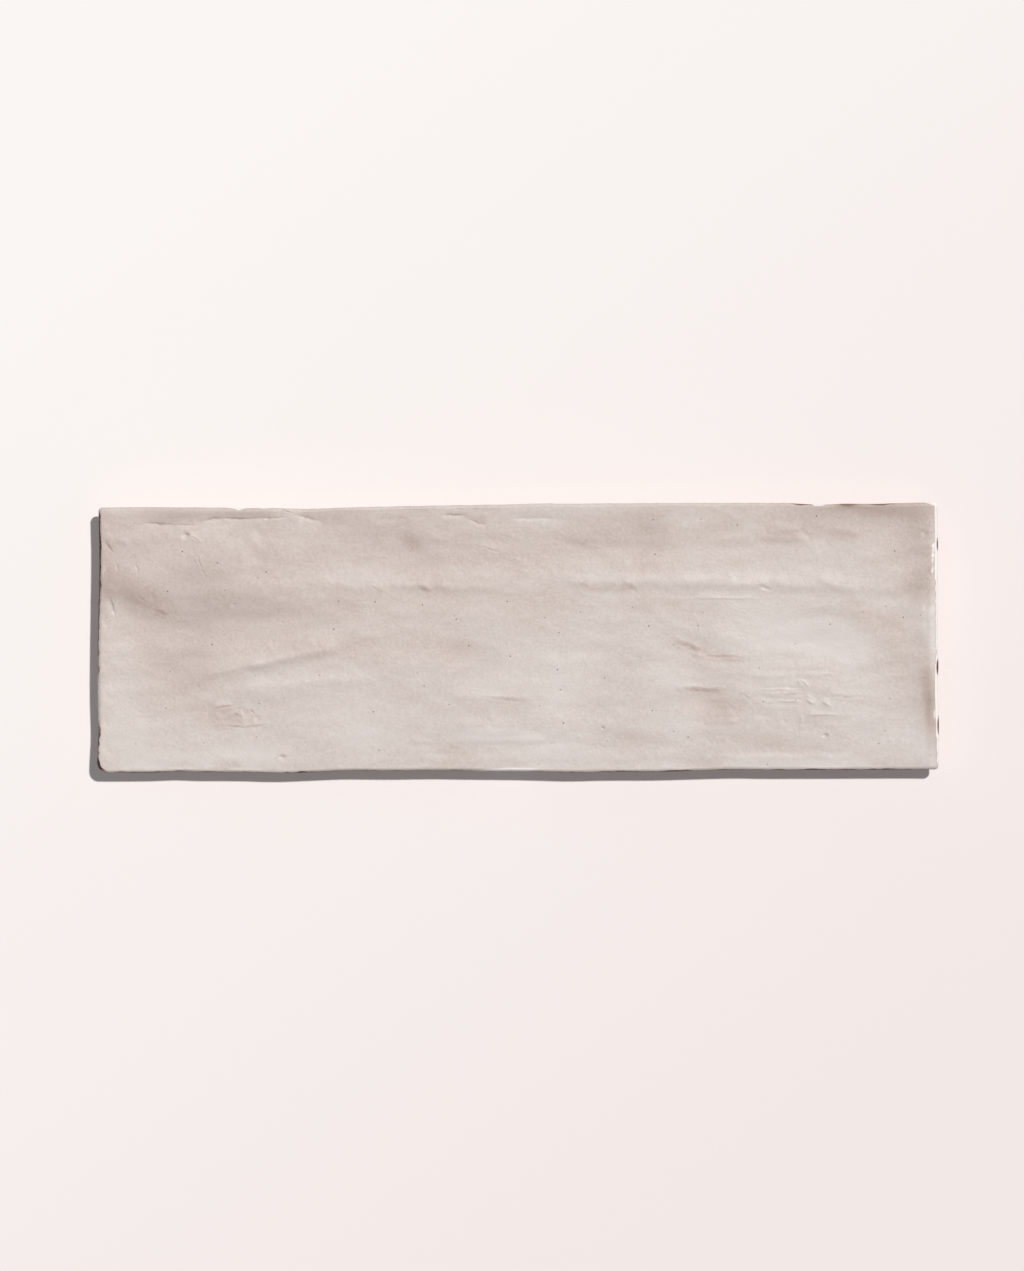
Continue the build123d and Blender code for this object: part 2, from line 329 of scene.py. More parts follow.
CREASES: tuple[Feature, ...] = (
    # Seams where the lip is folded back along the north edge.
    Crease((-89.5, 27.4), (-81, 27.2), -0.08, 0.9, 0.4, soft=2),
    Crease((-80, 27.3), (-74, 27.6), -0.06, 0.8, 0.35, soft=2),
    Crease((-74.5, 28.3), (-69.5, 28.7), -0.14, 0.8, 0.45, soft=1.2),
    Crease((-70.5, 28.7), (-60, 28.7), -0.10, 0.9, 0.40, soft=1.5),
    Crease((-62, 28.8), (-54, 28.8), -0.06, 0.8, 0.5, soft=2),
    Crease((-52.5, 29.4), (-45.5, 27.4), -0.12, 0.8, 0.7, soft=1.5),
    Crease((-56, 28.6), (-51.5, 26.2), 0.09, 1.2, 0.5, bend=0.9, soft=1.5),
    Crease((-34, 27.9), (-26, 28.3), -0.06, 0.8, 0.4, soft=2),
    Crease((-18, 29.1), (-12, 29.0), -0.11, 0.7, 0.45, soft=1.2),
    Crease((-13, 29.3), (-11.5, 28.2), -0.06, 0.5, 0.5, soft=0.6),
    Crease((-11.8, 27.8), (-7.2, 26.8), -0.12, 0.7, 0.4, bend=0.4, soft=1.2),
    Crease((-11, 30.2), (-4, 30.2), -0.05, 0.5, 0.4, soft=1.5),
    Crease((-1, 28.2), (8, 28.4), -0.08, 0.8, 0.5, bend=0.3, soft=2),
    Crease((6, 28.5), (12, 27.8), -0.05, 0.6, 0.4, soft=1.5),
    Crease((12, 29.2), (17, 28.0), 0.04, 0.8, 0.4, soft=1.5),
    # The slanting ridge and the fainter one under it.
    Crease((-76, -8.8), (-60, -5.6), 0.15, 1.8, 0.8, wander=0.25, soft=4),
    Crease((-66, -6.6), (-42, -2.4), 0.22, 1.8, 1.0, wander=0.3, soft=4),
    Crease((-69, -12.6), (-38, -9.6), 0.13, 1.4, 2.0, bend=0.5, soft=6),
    # The long ridge's crest.
    Crease((-50, 13.4), (-36, 12.2), 0.06, 1.6, 1.2, wander=0.3, soft=5),
    Crease((-36, 12.8), (-31, 11.2), 0.09, 1.2, 0.5, soft=1.5),
    Crease((-33, 12.6), (-22, 12.2), 0.07, 1.5, 0.8, wander=0.3, soft=3),
    Crease((-24.5, 13.0), (-20, 11.0), 0.12, 1.3, 0.6, soft=1.5),
    Crease((-20, 12.0), (-4, 11.4), 0.08, 1.4, 0.7, wander=0.3, soft=3),
    Crease((-6, 11.6), (0, 10.0), 0.04, 1.0, 0.7, soft=2),
    Crease((11.5, 13.2), (20, 12.2), 0.07, 1.4, 0.8, wander=0.3, soft=2),
    Crease((19.5, 13.0), (25.5, 12.4), 0.07, 1.3, 0.6, soft=2),
    Crease((24.5, 13.6), (29, 11.2), 0.12, 1.5, 0.8, soft=1.5),
    Crease((28, 12.4), (52, 12.2), 0.05, 1.7, 0.9, wander=0.4, soft=4),
    Crease((49, 12.6), (60, 11.7), 0.07, 1.6, 0.8, wander=0.3, soft=2),
    Crease((60, 12.2), (74, 11.4), 0.06, 1.6, 0.9, wander=0.3, soft=2),
    Crease((71, 14.0), (77, 11.4), 0.09, 1.0, 0.8, soft=2),
    Crease((74, 12.4), (82, 10.6), 0.09, 1.3, 1.0, soft=2),
    Crease((80, 10.9), (92, 10.2), 0.05, 1.2, 1.0, soft=3),
    Crease((41, 9.5), (58, 9.2), 0.04, 0.35, 0.5, soft=3),
    Crease((35, 10.0), (44, 9.6), -0.04, 0.5, 0.5, soft=2),
    # Streaks in the trough above it.
    Crease((12, 23.4), (22, 22.2), 0.06, 1.4, 0.9, wander=0.3, soft=3),
    Crease((21, 23.6), (35, 22.2), 0.07, 1.6, 0.9, wander=0.3, soft=3),
    Crease((47, 23.3), (58, 22.8), 0.06, 1.2, 0.8, wander=0.2, soft=2),
    Crease((56, 23.6), (70.5, 22.9), 0.09, 1.3, 0.7, wander=0.2, soft=2),
    Crease((59, 25.4), (68.5, 25.2), 0.08, 1.2, 0.8, wander=0.2, soft=1.5),
    Crease((67.2, 26.2), (70.6, 22.2), -0.07, 0.5, 0.9, soft=1.2),
    Crease((74, 25.3), (82, 23.2), 0.09, 1.4, 0.8, bend=0.2, soft=2),
    Crease((-21.5, 24.0), (-16, 23.2), 0.05, 0.9, 0.6, soft=2),
    Crease((-16, 22.8), (-9, 21.9), 0.04, 1.0, 0.6, soft=2),
    Crease((-10.5, 22.4), (-5, 21.0), 0.06, 0.9, 0.5, soft=2),
    Crease((-2, 19.0), (3, 16.8), 0.05, 0.9, 0.5, soft=1.5),
    Crease((17, 20.2), (26, 19.4), 0.04, 0.9, 0.6, wander=0.2, soft=2),
    Crease((69.5, 22.0), (72.6, 17.6), 0.04, 0.6, 0.7, bend=0.4, soft=1.2),
    # Cuts and wipes in the middle and the east.
    Crease((36.5, -0.4), (44, -3.2), 0.09, 1.2, 0.8, soft=2),
    Crease((40.5, -4.0), (55, -5.4), 0.12, 1.6, 0.45, bend=-0.3, soft=3),
    Crease((36, -12.2), (51, -13.3), 0.16, 1.1, 0.5, bend=0.2, soft=4),
    Crease((44.5, -15.0), (54, -15.2), 0.06, 0.8, 0.5, soft=2),
    Crease((45, -16.5), (53, -16.6), 0.06, 0.9, 0.5, soft=2),
    Crease((44, -18.2), (52, -18.6), 0.06, 0.8, 0.6, soft=2),
    Crease((44, -20.2), (53, -20.4), 0.07, 1.0, 0.5, soft=2),
    Crease((-16, -14.0), (-6, -14.2), 0.04, 1.0, 0.5, soft=3),
    Crease((-9, -14.4), (4, -15.2), 0.11, 1.2, 0.5, soft=3),
    Crease((-26, -24.7), (-16, -25.0), 0.05, 0.9, 0.5, soft=2),
    Crease((-20, -26.2), (-11, -27.2), 0.07, 1.2, 0.8, soft=2.5),
    Crease((-17, -24.8), (8, -24.8), 0.07, 1.1, 0.5, wander=0.2, soft=4),
    Crease((-14, -22.6), (3, -22.9), 0.04, 0.8, 0.6, wander=0.2, soft=4),
    Crease((0, -25.7), (17, -25.4), -0.04, 0.6, 0.7, soft=4),
    Crease((-40, -29.2), (40, -28.9), 0.04, 1.2, 0.7, wander=0.3, soft=10),
    Crease((42, -28.9), (80, -28.7), 0.07, 0.6, 1.2, wander=0.2, soft=6),
    # The wiped patch in the east, stroke by stroke.
    Crease((56, -6.4), (70, -6.5), 0.04, 0.8, 0.4, wander=0.1, soft=3),
    Crease((52, -7.5), (76, -7.4), 0.04, 0.9, 0.5, wander=0.1, soft=4),
    Crease((55, -9.4), (67, -9.5), 0.07, 0.8, 0.4, wander=0.1, soft=2),
    Crease((66, -9.3), (73.5, -9.4), 0.09, 0.7, 0.5, soft=1.5),
    Crease((66, -10.4), (69.6, -12.4), 0.09, 0.8, 0.6, soft=1.2),
    Crease((57, -12.5), (69, -12.7), -0.05, 0.5, 0.5, wander=0.1, soft=2),
    Crease((58, -13.9), (68, -14.1), 0.11, 0.8, 0.45, wander=0.1, soft=2),
    Crease((56, -15.5), (68, -15.6), 0.07, 0.7, 0.4, wander=0.1, soft=2),
    Crease((68.4, -14.0), (71.0, -16.2), 0.10, 0.6, 0.7, soft=0.8),
    Crease((72.6, -15.4), (74.6, -16.8), 0.09, 0.6, 0.6, soft=0.7),
    Crease((73, -13.8), (84, -15.2), 0.09, 1.0, 0.9, soft=3),
    Crease((56, -17.0), (68, -17.2), 0.05, 0.9, 0.5, wander=0.1, soft=3),
    Crease((69.5, -17.4), (74.5, -17.6), -0.06, 0.8, 0.5, soft=1.5),
    Crease((68, -18.7), (80.5, -18.9), 0.07, 0.4, 0.5, wander=0.1, soft=2),
    Crease((56, -18.9), (61, -19.2), -0.06, 0.5, 0.4, soft=1.5),
    Crease((67.6, -18.4), (67.4, -22.4), 0.06, 0.5, 0.6, soft=1),
    Crease((62.2, -17.6), (62.2, -22.6), 0.03, 0.5, 0.5, soft=1.5),
    Crease((68.5, -21.2), (77, -21.4), 0.05, 0.7, 0.5, soft=2),
    Crease((52.6, -13.0), (55.4, -14.8), 0.05, 0.5, 0.4, soft=0.8),
    Crease((52.8, -14.4), (55.4, -16.0), 0.05, 0.5, 0.4, soft=0.8),
    Crease((72.6, -8.8), (74.6, -10.2), 0.06, 0.5, 0.4, soft=0.7),
    # Arcs and scratches in the north-west.
    Crease((-96.0, 23.6), (-92.4, 22.2), 0.08, 0.5, 0.7, bend=0.5, soft=1),
    Crease((-93.0, 19.4), (-91.0, 18.8), -0.06, 0.5, 0.5, bend=0.4, soft=0.7),
    Crease((-98.8, 23.8), (-96.6, 20.6), -0.06, 0.8, 0.7, soft=1.2),
    Crease((-99.0, 28.5), (-97.5, 22.5), 0.07, 0.7, 1.1, soft=2),
    Crease((-78.8, 24.9), (-75.0, 22.8), 0.08, 0.7, 0.4, soft=1),
    Crease((-76.7, 19.8), (-75.6, 16.6), 0.08, 0.9, 0.5, soft=1),
    Crease((-76.0, 16.2), (-74.9, 14.4), 0.04, 0.6, 0.4, soft=0.8),
    Crease((-62.8, 28.0), (-59.4, 24.6), 0.06, 0.9, 0.6, soft=1.2),
    Crease((-64.6, 26.4), (-60.0, 19.0), 0.09, 1.6, 1.2, soft=2.5),
    Crease((-62.6, 13.4), (-60.0, 10.6), 0.05, 0.8, 0.5, soft=1),
    Crease((-60.4, 27.0), (-59.0, 15.0), 0.035, 1.0, 0.7, wander=0.3, soft=3),
    Crease((-66.6, 24.0), (-65.2, 14.0), 0.025, 0.9, 0.7, wander=0.3, soft=3),
    Crease((-97.7, 10.4), (-96.3, 5.6), -0.15, 0.45, 0.5, bend=0.15, soft=1.2),
    Crease((-99.4, 13.0), (-94.5, 11.0), 0.07, 1.0, 0.8, soft=1.5),
    Crease((-92.6, 10.6), (-87.6, 8.6), 0.11, 1.6, 1.0, soft=2),
    Crease((-86.8, 7.6), (-83.0, 5.6), 0.12, 1.3, 0.8, soft=1.2),
    Crease((-92.0, 6.2), (-86.6, 5.6), 0.06, 1.2, 0.8, soft=1.5),
    Crease((-74.4, 9.2), (-70.4, 7.0), 0.06, 0.8, 0.7, soft=1.2),
    Crease((-81.0, 5.0), (-77.4, 3.8), 0.04, 0.6, 0.5, soft=1),
    Crease((-80.0, 6.4), (-56.0, 6.2), 0.05, 2.0, 1.4, wander=0.3, soft=5),
    # The square print in the south-west.
    Crease((-73.9, -14.4), (-73.7, -20.8), -0.04, 0.7, 0.5, soft=1.5),
    Crease((-73.2, -16.0), (-67.4, -16.3), 0.13, 0.9, 0.8, soft=1.2),
    Crease((-69.2, -18.2), (-66.6, -18.5), 0.15, 0.7, 0.6, soft=0.8),
    Crease((-66.8, -16.6), (-65.6, -20.8), 0.10, 0.7, 0.6, bend=-0.3, soft=1.2),
    Crease((-74.0, -20.2), (-66.0, -20.8), 0.06, 1.0, 0.9, soft=2),
    Crease((-68.0, -21.1), (-57.0, -20.5), 0.06, 0.6, 0.4, soft=2),
    Crease((-65.4, -16.4), (-62.6, -17.6), 0.06, 0.7, 0.5, soft=0.8),
    Crease((-66.0, -11.4), (-60.0, -10.6), 0.04, 1.0, 0.8, soft=2),
    Crease((-56.6, -13.0), (-55.4, -18.4), -0.04, 0.8, 0.7, soft=2),
    Crease((-70.8, -12.6), (-69.2, -9.4), 0.03, 0.6, 0.6, soft=1),
)

MARKS: tuple[Feature, ...] = (
    Ticks((-36, 13.2), (-20, 12.0), 9, (1.1, 0.4), -45, 0.05, 0.4, 11),
    Ticks((13, 12.6), (29, 12.2), 9, (1.2, 0.45), -50, 0.055, 0.3, 12),
    Ticks((50, 12.8), (60, 12.0), 5, (1.2, 0.45), -48, 0.05, 0.3, 13),
    Ticks((-64, -3.6), (-44, -0.6), 6, (1.3, 0.45), -50, 0.06, 0.5, 14),
    Ticks((-73, -18.5), (-69, -18.5), 3, (1.1, 0.3), -45, 0.04, 0.2, 15),
    Ticks((-96, -30.2), (-58, -30.4), 9, (1.3, 0.7), 30, -0.06, 0.5, 21),
    Ticks((-98.2, 26.0), (-98.2, -28.0), 9, (0.7, 1.4), 20, -0.06, 0.5, 22),
    Ticks((97.6, 28.0), (97.4, -28.0), 11, (0.7, 1.6), -15, -0.08, 0.6, 23),
    Pit((-79.2, 24.7), 0.9, 0.22), Pit((-62.3, -19.0), 0.7, 0.14), Pit((73.2, -23.6), 0.7, 0.13),
    Pit((20.2, -21.5), 0.5, 0.14), Pit((-56.2, -28.3), 0.8, 0.16), Pit((45.6, -25.2), 0.5, 0.08),
    Pit((48.4, -25.1), 0.5, 0.07), Pit((63.5, -20.5), 0.6, 0.10), Pit((97.0, 24.6), 0.7, 0.16),
    Pit((-87.2, 9.8), 0.8, 0.10), Pit((-67.9, 8.2), 0.6, 0.12), Pit((58.8, 11.8), 0.7, 0.14),
)

# Where the glaze lies thin and the clay warms it, or thick where the number is
# negative. Only the tone changes, not the height. The patches are partly painted shading:
# the darker ones paint the relief's shade and the paler ones its light.
THIN_PATCHES_AND_PAINTED_SHADING: tuple[Feature, ...] = (
    # Along the north edge, where it pools and runs thin by turns.
    Swell((-72, 29.9), (18, 1.4), 0, 0.30), Swell((86, 31), (12, 2.2), -4, 0.60),
    Swell((95, 28), (5, 4), -40, 0.32), Swell((84, 29.5), (14, 4.5), -4, 0.30),
    Swell((70, 28.5), (8, 3.0), -10, 0.25), Swell((-55, 30), (4, 2.5), 0, -0.25),
    Swell((5, 29), (8, 3), 0, -0.22), Swell((-64, 30.2), (6, 1.5), 0, 0.12),
    Swell((-96, 30), (4, 2), 0, -0.18), Swell((-32, 30.2), (5, 2), 0, -0.18),
    Swell((-16, 30.4), (5, 1.6), 0, -0.22), Swell((18, 30.5), (7, 1.8), 0, -0.15),
    Swell((60, 29.5), (8, 2.4), 0, 0.16), Swell((-80, 30), (4, 1.6), 0, 0.18),
    Swell((72, 30), (4, 1.6), 0, 0.15), Swell((79.0, 31.1), (2.6, 0.5), 0, 1.50),
    # A dark line of painted shade along the seam of the folded lip.
    Crease((-73.5, 29.1), (-57, 29.1), 0.10, 0.5, 0.4, wander=0.15, soft=1.5),
    # Along the south edge.
    Swell((44, -30.5), (6, 1.6), 0, 0.25), Swell((-69, -30.2), (3.4, 1.6), 0, 0.35),
    Swell((-77, -27.5), (18, 3.6), 0, -0.28), Swell((-62, -28.5), (6, 3), 0, -0.25),
    Swell((8, -28), (9, 3), 0, -0.30), Swell((66, -30.6), (16, 1.8), 0, -0.40),
    Swell((96, -27), (4, 3), 0, -0.20), Swell((-16, -28.6), (5, 2.4), 0, 0.15),
    Swell((-88, -30), (5, 2), 0, -0.20), Swell((26, -30.4), (16, 1.8), 0, -0.18),
    Swell((88, -30), (5, 2), 0, 0.20), Swell((-64, -27.5), (4, 3), 0, -0.14),
    Swell((0, -30), (4, 1.6), 0, 0.15),
    # At the west end.
    Swell((-93.5, 12.8), (7, 3.4), -30, 0.52), Swell((-97, 7.2), (3.2, 2.6), 0, -0.26),
    Swell((-94, -18), (6, 12), 0, -0.25), Swell((-99.0, 19), (2.6, 14), 0, 0.45),
    Swell((-96, 25.5), (3.4, 5), 0, 0.24), Swell((-96.5, 15.5), (3, 2.2), 0, 0.20),
    Swell((-96.5, 8.5), (3, 2), 0, -0.18), Swell((-96, 12), (3, 2), 0, 0.15),
    Swell((-98.6, 16.5), (0.8, 1.1), 0, -0.60),
    # At the east end, with the brown stain at its lower half.
    Swell((95.5, 11.5), (4, 4), 0, 0.40), Swell((93, -11), (4, 5), 0, 0.25),
    Swell((98.3, -16), (1.5, 10), 6, 1.05), Swell((98, 18), (2, 6), 0, 0.35),
    Swell((94, 20), (5, 9), 0, 0.25), Swell((98.5, -17), (2.4, 8), 0, 0.35),
    Swell((96.5, 3), (3, 3), 0, -0.35), Swell((97, -5.5), (3, 3), 0, -0.22),
    Swell((96, -23.5), (3, 3), 0, -0.22), Swell((96, 23.5), (3, 2.5), 0, 0.16),
    Swell((98.6, 16.0), (1.1, 0.5), 60, 0.60), Swell((99.4, 1.5), (7, 0.7), 90, -0.50),
    # The warm north-west, over the shelf and the hollow.
    Swell((-86, 9.5), (17, 6.5), -8, 0.32), Swell((-84, 6.0), (6, 2.4), -10, 0.28),
    Swell((-62, 7.5), (22, 3.5), -3, 0.30), Swell((-88, 22), (10, 4), 0, 0.35),
    Swell((-74, 17), (14, 3), 0, 0.22), Swell((-60, 20), (5, 9), 0, 0.25),
    Swell((-38, 14.5), (10, 2.0), 0, -0.20), Swell((-71, 15), (7, 4.5), 0, 0.30),
    Swell((-56, 9.5), (5, 3), 0, 0.22), Swell((-41, 9.5), (4, 4), 0, 0.25),
    Swell((-80, 9), (3.6, 3), 0, -0.25), Swell((-88, 18), (4, 2.4), 0, -0.18),
    Swell((-41, 27.5), (6, 3), 0, 0.22), Swell((-48, 19.5), (4, 6), 0, 0.20),
    Swell((-51, 26.8), (5, 1.8), 0, -0.14), Swell((-80, 24), (4, 2), 0, -0.14),
    Swell((-82, 13), (9, 2.5), 0, 0.15), Swell((-76, 2), (9, 4), 0, 0.12),
    # A dark line of painted shade under the folded lip.
    Crease((-90, 27.9), (-75, 27.9), 0.15, 0.5, 0.4, wander=0.2, soft=2),
    # The south-west, round the slanting ridge and the print.
    Swell((-79, -6), (9, 9), 30, 0.35), Swell((-70, -19), (8, 4), 0, 0.15),
    Swell((-50, -2), (26, 2.4), 0, 0.22), Swell((-45, -17), (10, 6), 0, -0.15),
    Swell((-46, -2.5), (6, 4), 0, 0.15), Swell((-88, -4), (4, 10), 0, 0.20),
    Swell((-68, -19.5), (7, 2.6), 0, 0.25), Swell((-56, -12.5), (8, 2.6), 0, -0.25),
    Swell((-74, -5), (4, 3), 0, -0.15), Swell((-36, -22.5), (9, 4), 0, -0.26),
    Swell((-40, -24), (5, 4), 0, -0.12),
    # The middle, above the tile's axis.
    Swell((-32, 24), (14, 4), -10, 0.30), Swell((-25.5, 22.6), (2.6, 1.6), -35, 0.55),
    Swell((16, 25.5), (44, 4.5), 0, 0.22), Swell((-8, 18.5), (60, 2.4), 0, 0.20),
    Swell((32, 25), (4.5, 5), 0, 0.35), Swell((18, 22.6), (10, 1.6), -3, 0.20),
    Swell((-24, 17), (5, 6), 30, 0.20), Swell((-20, 12), (4, 6), 0, 0.25),
    Swell((0, 16.5), (4, 2.6), 0, 0.22), Swell((-2, 8.5), (9, 2.4), 0, 0.18),
    Swell((12, 12.5), (5, 1.8), 0, -0.20), Swell((-32, 19.5), (4, 3), 0, -0.16),
    Swell((8, 26.5), (4.5, 4), 0, -0.20), Swell((28, 7.5), (6, 2.6), 0, 0.16),
    Swell((-16, 10), (3.5, 4.5), 0, 0.14), Swell((-8, 9), (3, 2), 0, -0.18),
    Swell((8, 9), (4, 2), 0, 0.15), Swell((0, 6), (4, 2), 0, 0.15), Swell((32, 3), (4, 2), 0, -0.15),
    Swell((-32, 24), (4, 2), 0, 0.14),
    # Painted shade along the long ridge's southern flank.
    Crease((13, 11.9), (29, 11.3), 0.30, 0.5, 0.7, wander=0.4, soft=3),
    # The middle, below it.
    Swell((-22, -1), (10, 4), -17, 0.18), Swell((-17, -25.8), (8, 2.2), -4, 0.22),
    Swell((28, -24), (8, 2.4), -8, 0.25), Swell((-4, -17), (10, 3), -5, 0.15),
    Swell((0, -23), (40, 3), 0, -0.15), Swell((-6, -11.5), (10, 2.6), 0, -0.15),
    Swell((9, -8), (9, 6), 0, -0.22), Swell((-16, -5), (4, 3), 0, 0.22),
    Swell((32, -9), (6, 3), 0, -0.25), Swell((10, -5), (8, 4), 0, -0.15),
    Swell((2, -24), (12, 2.4), 0, -0.18), Swell((9, -13.5), (5, 5), 0, -0.20),
    Swell((-8, -12.8), (5, 2.6), 0, -0.20), Swell((11, -17), (8, 4), 0, -0.12),
    Swell((-9, -24), (5, 2), 0, -0.16), Swell((0, -3), (4, 2), 0, -0.14),
    # The north-east, along the ridge and its trough.
    Swell((63, 24.2), (8, 2.2), 3, 0.25), Swell((78, 24.3), (5, 1.6), -12, 0.20),
    Swell((83, 26.5), (9, 2.8), 24, 0.16), Swell((82, 4), (8, 2.5), -35, 0.25),
    Swell((48, 14.2), (34, 1.6), 0, -0.20), Swell((74, 9), (14, 2.4), 0, -0.18),
    Swell((38, 9.0), (7, 2.4), 0, 0.18), Swell((80, 9.0), (5, 2.4), -30, 0.25),
    Swell((56, 6), (6, 2.5), -30, -0.22), Swell((56, 27), (4, 2.6), 0, -0.20),
    Swell((64, 24), (4, 2), 0, 0.22), Swell((72, 21), (4, 2.4), 0, -0.16),
    Swell((72, 6), (4, 2.2), 0, 0.20), Swell((40, 27), (9, 2), 0, -0.14),
    Swell((84, 17.5), (6, 3), 0, 0.16), Swell((36, 15.5), (7, 1.6), 0, 0.15),
    Swell((50, 10.5), (6, 3), 0, -0.15), Swell((88, 7.5), (4, 2.4), 0, -0.15),
    Swell((42, 4), (6, 2.4), 0, 0.16),
    # The east hollow and the wiped patch.
    Swell((91, -2), (6, 4), 20, 0.22), Swell((48, -16.5), (6, 4), -6, 0.35),
    Swell((46, -3.2), (6, 1.8), -14, 0.35), Swell((66, 1), (15, 7), -12, -0.40),
    Swell((68, -14), (14, 6), 0, -0.15), Swell((36, -9.5), (6, 4), 0, -0.18),
    Swell((52, -1), (4, 3), 0, -0.20), Swell((88, -23), (7, 5), 0, -0.20),
    Swell((88, 3.5), (5, 2.4), -38, 0.25), Swell((49, -5.4), (6, 1.6), -6, 0.25),
    Swell((48, -18), (6, 3), 0, 0.22), Swell((60, -24.5), (14, 2), 0, 0.12),
    Swell((36, 3), (8, 2.2), 0, -0.15), Swell((76, -1), (7, 4), 0, -0.30),
    Swell((36, -21), (6, 3), 0, -0.20), Swell((78, -17), (7, 5), 0, -0.15),
    Swell((72, 0.5), (4.4, 2.6), 0, -0.27), Swell((40, -2.8), (4, 1.7), -20, 0.20),
    Swell((48, -1), (4, 2), -10, -0.16), Swell((57, -6.2), (4, 2.2), 0, -0.20),
    Swell((73, -7.5), (4, 2.4), 0, 0.20), Swell((80, -6), (4, 4), 0, -0.15),
    Swell((70.5, 0.7), (6, 2.4), -20, -0.34), Swell((88, -3), (4, 2.4), 0, -0.15),
    Swell((65, -10.5), (6, 2.4), 0, -0.15), Swell((51, -13.5), (7, 3), 0, -0.15),
    Swell((40, -22), (4, 3), 0, -0.15), Swell((58, -25.5), (7, 2.4), 0, 0.14),
    Swell((48, -3), (4, 2), 0, -0.14), Swell((64, -15), (4, 2.2), 0, 0.13),
)


@dataclass(frozen=True)
class Relief:
    """The face's height and the thinness of its glaze, partly painted shading, as sums of single
    features.
    """

    level: float = 8.5
    mean_thinness: float = 0.34
    unrest: tuple[Feature, ...] = (
        Unrest(0.032, (16.0, 6.5), 5),
        Unrest(0.016, (9.0, 4.5), 8),
        Unrest(0.008, (5.0, 2.6), 6),
    )
    drift: tuple[Feature, ...] = (Unrest(0.06, (24.0, 9.0), 7),)

    def height(self, x: Array, y: Array) -> Array:
        """Height of the glazed face over the bed."""
        return added_up(SWELLS + CREASES + MARKS + self.unrest, x, y, self.level)

    def thinness(self, x: Array, y: Array) -> Array:
        """How thin the coat is: round 0 where it is thick, and round 1 where thin, partly as painted
        shading.
        """
        return added_up(THIN_PATCHES_AND_PAINTED_SHADING + self.drift, x, y, self.mean_thinness)


@dataclass(frozen=True)
class Seam:
    """A groove that is finer than the mesh, or a thread where its depth is negative."""

    start: Point
    finish: Point
    depth: float
    width: float = 0.40


SEAM_WAVES = 0.45  # how many waves a seam has for each millimetre
SEAM_STRAY = 0.9  # how wide the band is that they keep it in

